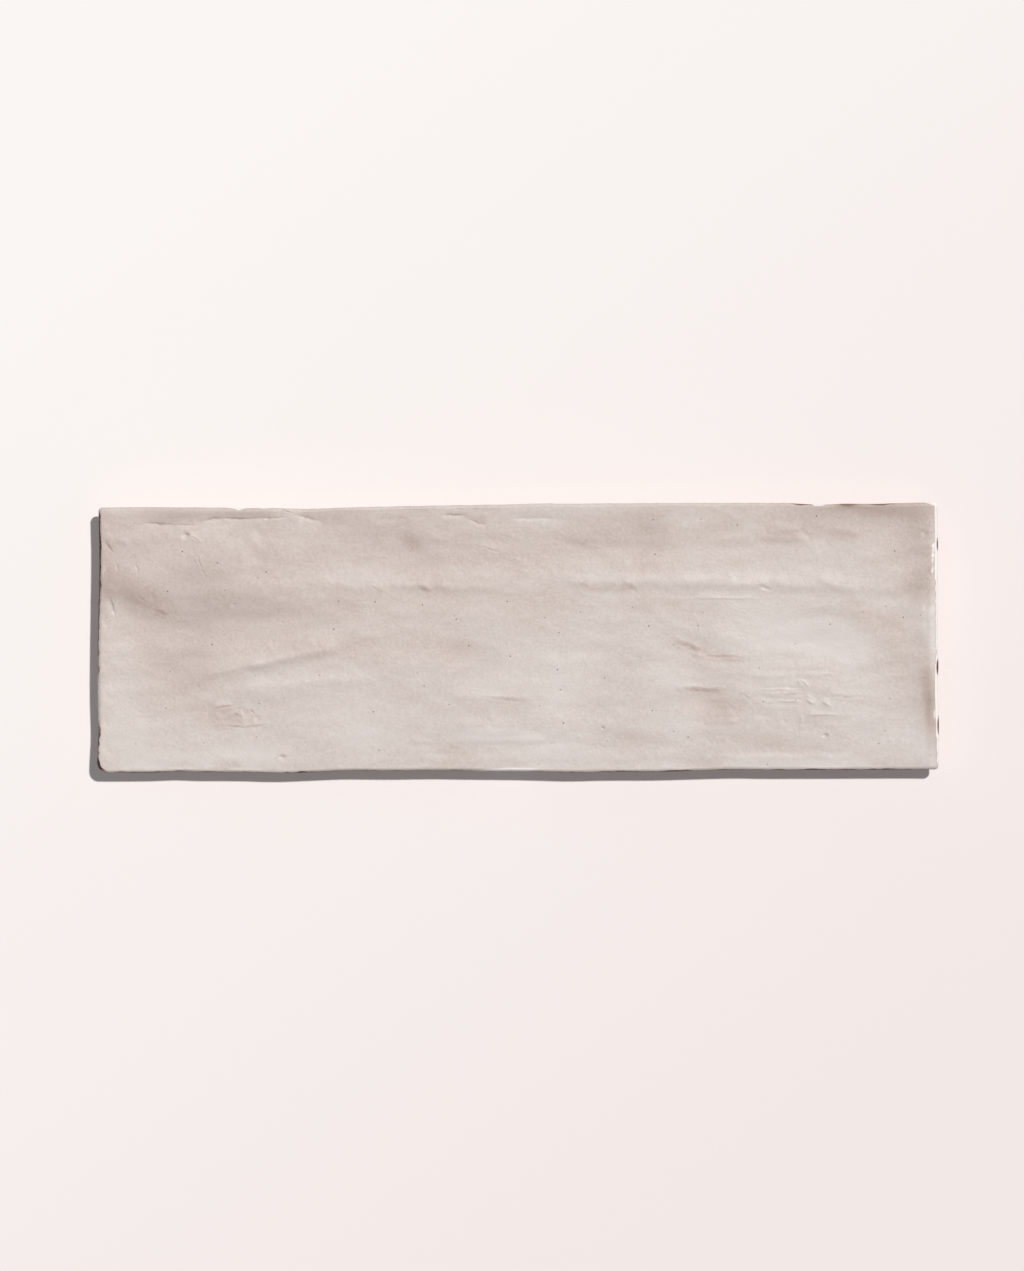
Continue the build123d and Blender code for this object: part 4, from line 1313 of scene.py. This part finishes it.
class NodeResult:
    """A finished node whose outputs are read by name."""

    def __init__(self, tree: "ShaderTree", node: bpy.types.Node) -> None:
        """Keeps the node and its tree.

        Args:
            tree: The tree that the node is in.
            node: The node.
        """
        self.tree = tree
        self.node = node

    def __getitem__(self, name: str) -> Shade:
        """Finds an output.

        Args:
            name: The output's name or identifier.

        Returns:
            The output, as a Shade.
        """
        for socket in self.node.outputs:
            if name in (socket.identifier, socket.name):
                return Shade(self.tree, socket)
        raise KeyError(name)


class ShaderTree:
    """The nodes of one material."""

    def __init__(self, name: str) -> None:
        """Starts a material with an empty tree.

        Args:
            name: The material's name.
        """
        self.material = bpy.data.materials.new(name)
        self.material.use_nodes = True
        self.nodes = self.material.node_tree.nodes
        self.links = self.material.node_tree.links
        self.nodes.clear()

    def add(self, kind: str, settings: dict[str, Any], inputs: dict[Any, Any]) -> NodeResult:
        """Adds any node.

        Args:
            kind: The node's type.
            settings: Its own settings, which are set first.
            inputs: The values or links of its sockets, by name, identifier or place.

        Returns:
            The node, whose outputs are read by name.
        """
        node = self.nodes.new(kind)
        for name, value in settings.items():
            setattr(node, name, value)
        for key, value in inputs.items():
            socket = self.find_input(node, key)
            if isinstance(value, Shade):
                self.links.new(value.socket, socket)
            else:
                socket.default_value = value
        return NodeResult(self, node)

    @staticmethod
    def find_input(node: bpy.types.Node, key: Any) -> bpy.types.NodeSocket:
        """Finds an input socket.

        Args:
            node: The node.
            key: The socket's identifier, name or place.

        Returns:
            The socket.
        """
        if isinstance(key, int):
            return node.inputs[key]
        for socket in node.inputs:
            if socket.identifier == key:
                return socket
        return node.inputs[key]

    def attribute(self, name: str) -> Shade:
        """A number that the mesh holds at each point."""
        settings = {"attribute_name": name}
        return self.add("ShaderNodeAttribute", settings, {})["Fac"]

    def place(self, stretch: Sequence[float] = (1.0, 1.0, 1.0)) -> Shade:
        """The place on the piece in millimetres.

        Args:
            stretch: What each axis is multiplied by besides.

        Returns:
            The place, as a vector.
        """
        spot = self.add("ShaderNodeTexCoord", {}, {})["Object"]
        scale = tuple(share / METRES for share in stretch)
        return self.vector_math("MULTIPLY", spot, scale)["Vector"]

    def vector_math(self, operation: str, *values: Any) -> NodeResult:
        """Adds a Vector Math node."""
        inputs = dict(enumerate(values))
        return self.add("ShaderNodeVectorMath", {"operation": operation}, inputs)

    def noise(self, *mottles: Mottle) -> Shade:
        """Soft noise that lies round 0: one mottle, or the sum of several.

        Args:
            *mottles: The mottles.

        Returns:
            Numbers mostly within half the mottles' strengths.
        """
        total: Any = 0.0
        for mottle in mottles:
            place = self.place((mottle.stretch, 1.0, 1.0))
            inputs = {"Vector": place, "Scale": 1.0 / mottle.size, "Detail": mottle.detail}
            cloud = self.add("ShaderNodeTexNoise", {}, inputs)["Fac"]
            total = total + mottle.strength * (cloud - 0.5)
        return total

    def blend(self, first: Any, second: Any, share: Any) -> Shade:
        """Mixes two colours.

        Args:
            first: The colour at a share of 0.
            second: The colour at a share of 1.
            share: The share of the second colour.

        Returns:
            The mixed colour.
        """
        settings = {"data_type": "RGBA"}
        inputs = {"Factor_Float": share, "A_Color": first, "B_Color": second}
        return self.add("ShaderNodeMix", settings, inputs)["Result_Color"]


def paint(colour: Colour) -> tuple[float, float, float, float]:
    """A colour with full cover, as a socket takes it."""
    return (*colour, 1.0)


@dataclass(frozen=True)
class Glaze:
    """The matte glaze: cool and pale where thick, warm and darker where thin, partly as painted
    shading.

    The kiln left it a little warmer in the north-west than in the south-east. A range
    holds the values between which something sets in. The pinholes are the ones that
    show most, and the faint ones lie in cells of their own, one in three of them.
    """

    north_west: Colour = (0.691, 0.607, 0.564)
    south_east: Colour = (0.678, 0.613, 0.576)
    fall: tuple[float, float, float] = (0.0021, -0.0089, 0.0)
    # The thin colour also serves as the relief's painted shade.
    thin: Colour = (0.520, 0.420, 0.376)
    thin_mottles: tuple[Mottle, ...] = (
        Mottle(0.30, 14.0, 3.0, 0.5), Mottle(0.22, 2.2, 3.0, 0.7), Mottle(0.80, 0.75),
    )
    seam_painted_shade: float = 4.5  # painted shade in the seams: how far a seam 1 mm deep darkens the coat, as if thinner
    rust: Colour = (0.395, 0.298, 0.250)
    rust_range: Point = (0.75, 2.3)
    speck: Colour = (0.820, 0.780, 0.740)
    speck_mottle: Mottle = Mottle(1.0, 0.7, 0.0)
    speck_range: Point = (0.30, 0.36)
    speck_cover: float = 0.25
    roughness: float = 0.46
    satin: Mottle = Mottle(0.16, 6.0, 3.0)
    specular: float = 0.45
    skin: tuple[Mottle, ...] = (Mottle(0.026, 2.4, 2.0, 0.6), Mottle(0.032, 0.7))
    wrinkle: float = 0.010
    wrinkle_width: float = 0.03
    wrinkle_fold: Mottle = Mottle(1.0, 5.0, 3.0, 0.7)
    wrinkle_patch: Mottle = Mottle(1.0, 16.0, 1.0)
    wrinkle_range: Point = (-0.02, 0.12)
    end_waver: Mottle = Mottle(0.9, 1.7, 3.0)  # of the line where the glaze ends
    end_blur: float = 0.06
    pinholes: tuple[Point, ...] = (
        (-80.0, 20.8), (-71.6, 18.1), (-60.0, 15.8), (-83.5, 11.3), (-34.0, 8.6),
        (-42.8, 8.8), (-22.7, 7.8), (-14.7, 4.4), (-2.5, 8.6), (-43.9, 2.1),
        (32.4, 27.9), (32.8, 19.7), (31.2, 2.6), (43.0, 2.6), (9.8, 1.1),
        (52.5, 26.5), (71.4, 28.6), (90.0, 20.2), (74.5, 2.8), (92.0, 4.4),
        (-73.0, -1.4), (-84.0, -16.5), (-22.4, -11.5), (9.4, -7.8), (20.7, -9.8),
        (32.0, -17.6), (40.5, -24.0), (58.5, -15.6), (86.0, -25.7), (-33.2, -26.8),
        (-11.7, -2.0), (-1.8, -4.5), (-34.5, -17.6), (10.1, -12.6), (10.8, -20.5),
    )
    # The bared clay in a pinhole, darkened further by painted shade in the hole.
    pinhole_clay_and_shade: Colour = (0.150, 0.090, 0.070)
    pinhole_radius: float = 0.19
    pinhole_floor: float = 0.4  # share of the radius that is dark all over
    pinhole_waver: Mottle = Mottle(0.12, 0.5, 0.0)
    pinhole_cover: float = 0.85
    pinhole_depth: float = 0.10
    pinhole_clear: float = 0.4  # how far they stay inside the rim's turn
    faint_spacing: float = 7.5
    faint_radius: float = 0.12
    faint_sizes: Point = (0.5, 1.4)  # the least and the most, against that radius
    faint_floor: float = 0.55
    faint_cover: float = 0.7
    faint_range: Point = (0.64, 0.66)  # past this draw a cell has a hole


@dataclass(frozen=True)
class Clay:
    """The fired red body, bare on the walls and the back, and the engobe over it."""

    body: Colour = (0.290, 0.175, 0.140)
    dust: Colour = (0.460, 0.330, 0.270)
    dust_cover: float = 0.35
    dust_mottles: tuple[Mottle, ...] = (Mottle(0.8, 7.0, 4.0), Mottle(0.6, 0.8))
    # Near black: scorched clay, and painted shade along the west and south edges.
    burnt_and_shade: Colour = (0.085, 0.035, 0.030)
    burnt_and_shade_range: Point = (0.0, 0.8)
    engobe: Colour = (0.900, 0.850, 0.825)
    engobe_fleck: Mottle = Mottle(0.3, 0.8)
    engobe_patch: Mottle = Mottle(0.5, 3.5, 1.0)
    engobe_range: Point = (0.12, 0.30)
    over_glaze_range: Point = (0.5, 1.0)  # where the engobe, partly a painted highlight along the rims, shows even on the glaze
    roughness: float = 0.88
    grain: Mottle = Mottle(0.10, 0.9, 4.0)
    drop: float = 0.12  # how far bare clay lies under the glaze's skin


@dataclass(frozen=True)
class GlazedClay:
    """The tile's one finish: glaze over clay, with the line where the glaze ends."""

    glaze: Glaze = Glaze()
    clay: Clay = Clay()

    def material(self) -> bpy.types.Material:
        """Builds the material.

        Returns:
            The finished material.
        """
        tree = ShaderTree("glazed_clay")
        bare = self.bare(tree)
        holes = self.holes(tree)
        seams = self.seams(tree)
        glaze_colour = self.glaze_colour(tree, holes, seams)
        roughness = self.glaze.roughness + tree.noise(self.glaze.satin)
        roughness = roughness + bare * (self.clay.roughness - self.glaze.roughness)
        height = self.relief(tree, bare, holes, seams)
        inputs = {"Strength": 1.0, "Distance": 1.0, "Height": height}
        bump = tree.add("ShaderNodeBump", {}, inputs)
        inputs = {
            "Base Color": tree.blend(glaze_colour, self.clay_colour(tree), bare),
            "Roughness": roughness,
            "Normal": bump["Normal"],
            "Specular IOR Level": self.glaze.specular,
        }
        shader = tree.add("ShaderNodeBsdfPrincipled", {}, inputs)
        tree.add("ShaderNodeOutputMaterial", {}, {"Surface": shader["BSDF"]})
        return tree.material

    def bare(self, tree: ShaderTree) -> Shade:
        """Where the clay is bare: past the wavering line where the glaze ends.

        Args:
            tree: The material's tree.

        Returns:
            1 on clay and 0 on glaze.
        """
        past = tree.attribute("edge") - tree.attribute("reach")
        past = past + tree.noise(self.glaze.end_waver)
        return past.step(-self.glaze.end_blur, self.glaze.end_blur)

    def holes(self, tree: ShaderTree) -> Shade:
        """Pinholes, where gas broke through the glaze: the middles of a few cells.

        Args:
            tree: The material's tree.

        Returns:
            1 in a hole and 0 round it.
        """
        glaze = self.glaze
        place = tree.place((1.0, 1.0, 0.0))
        inputs = {"Vector": place, "Scale": 1.0 / glaze.faint_spacing}
        cells = tree.add("ShaderNodeTexVoronoi", {"voronoi_dimensions": "2D"}, inputs)
        draw = tree.add("ShaderNodeSeparateColor", {}, {"Color": cells["Color"]})
        least, most = (share * glaze.faint_radius / glaze.faint_spacing for share in glaze.faint_sizes)
        near = cells["Distance"] / (least + (most - least) * draw["Green"])
        faint = (1.0 - near.step(glaze.faint_floor, 1.0)) * draw["Red"].step(*glaze.faint_range)
        gap: Any = FAR
        for hole in glaze.pinholes:
            gap = tree.vector_math("DISTANCE", place, (*hole, 0.0))["Value"].smaller(gap)
        gap = gap + tree.noise(glaze.pinhole_waver)
        plain = 1.0 - gap.step(glaze.pinhole_floor * glaze.pinhole_radius, glaze.pinhole_radius)
        above = 1.0 - tree.attribute("edge").step(-glaze.pinhole_clear, 0.0)
        return plain.larger(faint * glaze.faint_cover) * above

    def seams(self, tree: ShaderTree) -> Shade:
        """The hair-thin seams' depth, along lines that waver a little.

        Each seam is a cone stretched to its own length and width. The cones add up.

        Args:
            tree: The material's tree.

        Returns:
            The depth in millimetres.
        """
        place = tree.place((1.0, 1.0, 0.0))
        inputs = {"Vector": place, "Scale": SEAM_WAVES}
        waver = tree.add("ShaderNodeTexNoise", {}, inputs)["Color"]
        waver = tree.vector_math("SUBTRACT", waver, (0.5, 0.5, 0.5))["Vector"]
        stray = SEAM_STRAY, SEAM_STRAY, 0.0
        place = tree.vector_math("MULTIPLY_ADD", waver, stray, place)["Vector"]
        total: Any = 0.0
        for seam in SEAMS:
            east, north = seam.finish[0] - seam.start[0], seam.finish[1] - seam.start[1]
            inputs = {
                "Vector": place,
                "Location": (seam.start[0] + east / 2.0, seam.start[1] + north / 2.0, 0.0),
                "Rotation": (0.0, 0.0, atan2(north, east)),
                "Scale": (hypot(east, north) / 2.0, seam.width, 1.0),
            }
            spot = tree.add("ShaderNodeMapping", {"vector_type": "TEXTURE"}, inputs)["Vector"]
            settings = {"gradient_type": "SPHERICAL"}
            cone = tree.add("ShaderNodeTexGradient", settings, {"Vector": spot})["Fac"]
            total = cone.math("MULTIPLY_ADD", cone, seam.depth, total)
        return total

    def glaze_colour(self, tree: ShaderTree, holes: Shade, seams: Shade) -> Shade:
        """The glaze's colour: thin and thick patches, partly painted shading of the relief, a mottle,
        pinholes with painted shade, seams darkened by painted shade, and engobe near the rims, partly
        a painted highlight.

        Args:
            tree: The material's tree.
            holes: Where the pinholes are.
            seams: The seams' depth.

        Returns:
            The colour.
        """
        glaze, clay = self.glaze, self.clay
        thin = tree.attribute("thin") + tree.noise(*glaze.thin_mottles)
        # Painted shade: the seams darken the glaze towards its thin colour.
        thin = thin + glaze.seam_painted_shade * seams.larger(0.0)
        fall = tree.vector_math("DOT_PRODUCT", tree.place(), glaze.fall)["Value"]
        colour = tree.blend(paint(glaze.north_west), paint(glaze.south_east), fall + 0.5)
        colour = tree.blend(colour, paint(glaze.thin), thin)
        colour = tree.blend(colour, paint(glaze.rust), thin.step(*glaze.rust_range))
        specks = tree.noise(glaze.speck_mottle).step(*glaze.speck_range)
        colour = tree.blend(colour, paint(glaze.speck), specks * glaze.speck_cover)
        pale = tree.attribute("pale") + tree.noise(clay.engobe_fleck)
        # Engobe over the glaze near the rims, partly a painted highlight.
        colour = tree.blend(colour, paint(clay.engobe), pale.step(*clay.over_glaze_range))
        # Pinholes: bared clay with painted shade.
        return tree.blend(colour, paint(glaze.pinhole_clay_and_shade), holes * glaze.pinhole_cover)

    def clay_colour(self, tree: ShaderTree) -> Shade:
        """The clay's colour: red body under a haze of dust, darkened by scorching and by painted shade
        along the west and south edges, or under its engobe, partly a painted highlight.

        Args:
            tree: The material's tree.

        Returns:
            The colour.
        """
        clay = self.clay
        dust = clay.dust_cover + tree.noise(*clay.dust_mottles)
        colour = tree.blend(paint(clay.body), paint(clay.dust), dust)
        pale = tree.attribute("pale") + tree.noise(clay.engobe_fleck, clay.engobe_patch)
        # Painted shade along the west and south edges, and scorched clay on the north and east.
        burnt_and_shade = (0.0 - pale).step(*clay.burnt_and_shade_range)
        colour = tree.blend(colour, paint(clay.burnt_and_shade), burnt_and_shade)
        # The engobe, partly a painted highlight along the rims.
        return tree.blend(colour, paint(clay.engobe), pale.step(*clay.engobe_range))

    def relief(self, tree: ShaderTree, bare: Shade, holes: Shade, seams: Shade) -> Shade:
        """Fine relief, in metres: glaze skin, its edge, pinholes and the clay's grain.

        Args:
            tree: The material's tree.
            bare: Where the clay is bare.
            holes: Where the pinholes are.
            seams: The seams' depth.

        Returns:
            The height.
        """
        glaze = self.glaze
        fold = tree.noise(glaze.wrinkle_fold)
        fold = fold.larger(0.0 - fold).step(0.0, glaze.wrinkle_width)
        wrinkle = (1.0 - fold) * tree.noise(glaze.wrinkle_patch).step(*glaze.wrinkle_range)
        skin = tree.noise(*glaze.skin) - glaze.wrinkle * wrinkle
        skin = skin - glaze.pinhole_depth * holes - seams
        grain = tree.noise(self.clay.grain) - self.clay.drop
        return (skin + bare * (grain - skin)) * METRES


# Studio


@dataclass(frozen=True)
class Floor:
    """A pale floor that takes the tile's shadow, its paint darker towards the south-east as painted
    shade.
    """

    reach: float = 1600.0
    # Painted shade: the floor darkens from the north-west to the south-east.
    north_west: Colour = (0.960, 0.922, 0.900)
    south_east: Colour = (0.888, 0.807, 0.792)
    fall: tuple[float, float, float] = (0.6, -0.8, 0.0)
    fall_length: float = 300.0

    def build(self) -> bpy.types.Object:
        """Lays the floor as one square, and dresses it.

        Returns:
            The floor's object.
        """
        r = self.reach * METRES
        mesh = bpy.data.meshes.new("floor")
        mesh.from_pydata([(-r, -r, 0), (r, -r, 0), (r, r, 0), (-r, r, 0)], [], [(0, 1, 2, 3)])
        floor = bpy.data.objects.new("floor", mesh)
        bpy.context.scene.collection.objects.link(floor)
        tree = ShaderTree("floor_with_painted_shade")
        along = tree.vector_math("DOT_PRODUCT", tree.place(), self.fall)["Value"]
        share = along / self.fall_length + 0.5
        colour = tree.blend(paint(self.north_west), paint(self.south_east), share)
        shader = tree.add("ShaderNodeBsdfDiffuse", {}, {"Color": colour, "Roughness": 0.0})
        tree.add("ShaderNodeOutputMaterial", {}, {"Surface": shader["BSDF"]})
        mesh.materials.append(tree.material)
        return floor


class Lamp(Enum):
    """The studio's two distant lamps."""

    KEY = "key"
    RAKE = "rake"


@dataclass(frozen=True)
class Studio:
    """Floor, lamps and camera. The lamps' shares and the sky's add up to a plain 1."""

    floor: Floor = Floor()
    key_slope: Point = (0.284, 0.296)
    key_share: Colour = (0.7805, 0.7665, 0.7585)
    key_softness: float = 2.3
    rake_slope: Point = (0.45, 1.35)
    rake_share: Colour = (0.102, 0.111, 0.1135)
    rake_softness: float = 12.0
    sky: Colour = (0.1175, 0.1225, 0.128)

    def light(self) -> None:
        """Hangs the lamps and sets the sky. Only the key lamp casts a shadow."""
        self.lamp(Lamp.KEY, self.key_slope, self.key_share, self.key_softness)
        rake = self.lamp(Lamp.RAKE, self.rake_slope, self.rake_share, self.rake_softness)
        rake.data.use_shadow = False
        world = bpy.data.worlds.new("sky")
        world.use_nodes = True
        world.node_tree.nodes["Background"].inputs["Color"].default_value = paint(self.sky)
        bpy.context.scene.world = world

    @staticmethod
    def lamp(kind: Lamp, slope: Point, share: Colour, softness: float) -> bpy.types.Object:
        """Hangs one distant lamp.

        Args:
            kind: The lamp.
            slope: How far east and north it stands for each step up.
            share: What it adds to the floor's light in red, green and blue.
            softness: The angle that it fills in the sky, in degrees.

        Returns:
            The lamp's object.
        """
        toward = Vector((*slope, 1.0)).normalized()
        data = bpy.data.lights.new(kind.value, "SUN")
        data.energy = max(share) * pi / toward.z
        data.color = [part / max(share) for part in share]
        data.angle = radians(softness)
        lamp = bpy.data.objects.new(kind.value, data)
        lamp.rotation_euler = toward.to_track_quat("Z", "Y").to_euler()
        bpy.context.scene.collection.objects.link(lamp)
        return lamp


@dataclass(frozen=True)
class Viewpoint:
    """The camera, straight above the tile, placed by where the photograph shows it."""

    frame_px: tuple[int, int] = (1024, 1271)
    tile_centre_px: Point = (517.8, 637.4)
    rim_length_px: float = 836.2
    rim_length: float = 199.5
    face_level: float = 8.5
    tilt: float = 0.253
    lens: float = 300.0
    sensor: float = 36.0
    clip_end: float = 100.0  # metres

    def build(self) -> bpy.types.Object:
        """Makes the scene's camera.

        The tile's centre is moved off the frame's by the pixels that the photograph
        shows, and the height follows from the lens and the frame's real height.

        Returns:
            The camera's object.
        """
        pitch = self.rim_length / self.rim_length_px
        rise = self.frame_px[1] * pitch * self.lens / self.sensor
        data = bpy.data.cameras.new("camera")
        data.lens, data.sensor_width = self.lens, self.sensor
        data.clip_end = self.clip_end
        camera = bpy.data.objects.new("camera", data)
        east = (self.frame_px[0] / 2 - self.tile_centre_px[0]) * pitch
        north = (self.tile_centre_px[1] - self.frame_px[1] / 2) * pitch
        camera.location = Vector((east, north, self.face_level + rise)) * METRES
        camera.rotation_euler = (0.0, 0.0, radians(-self.tilt))
        bpy.context.scene.collection.objects.link(camera)
        bpy.context.scene.camera = camera
        return camera


def main() -> None:
    """Builds the tile, its finish, the floor, the lamps and the camera, in order."""
    logging.basicConfig(level=logging.INFO, format="%(name)s: %(message)s")
    bpy.context.scene.view_settings.view_transform = "Standard"
    Viewpoint().build()
    tile = Tile().build()
    tile.data.materials.append(GlazedClay().material())
    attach(tile, BODY)
    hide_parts(NODE)
    log.info("tile: %d points, %d faces", len(tile.data.vertices), len(tile.data.polygons))
    studio = Studio()
    studio.floor.build()
    studio.light()


if __name__ == "__main__":
    main()
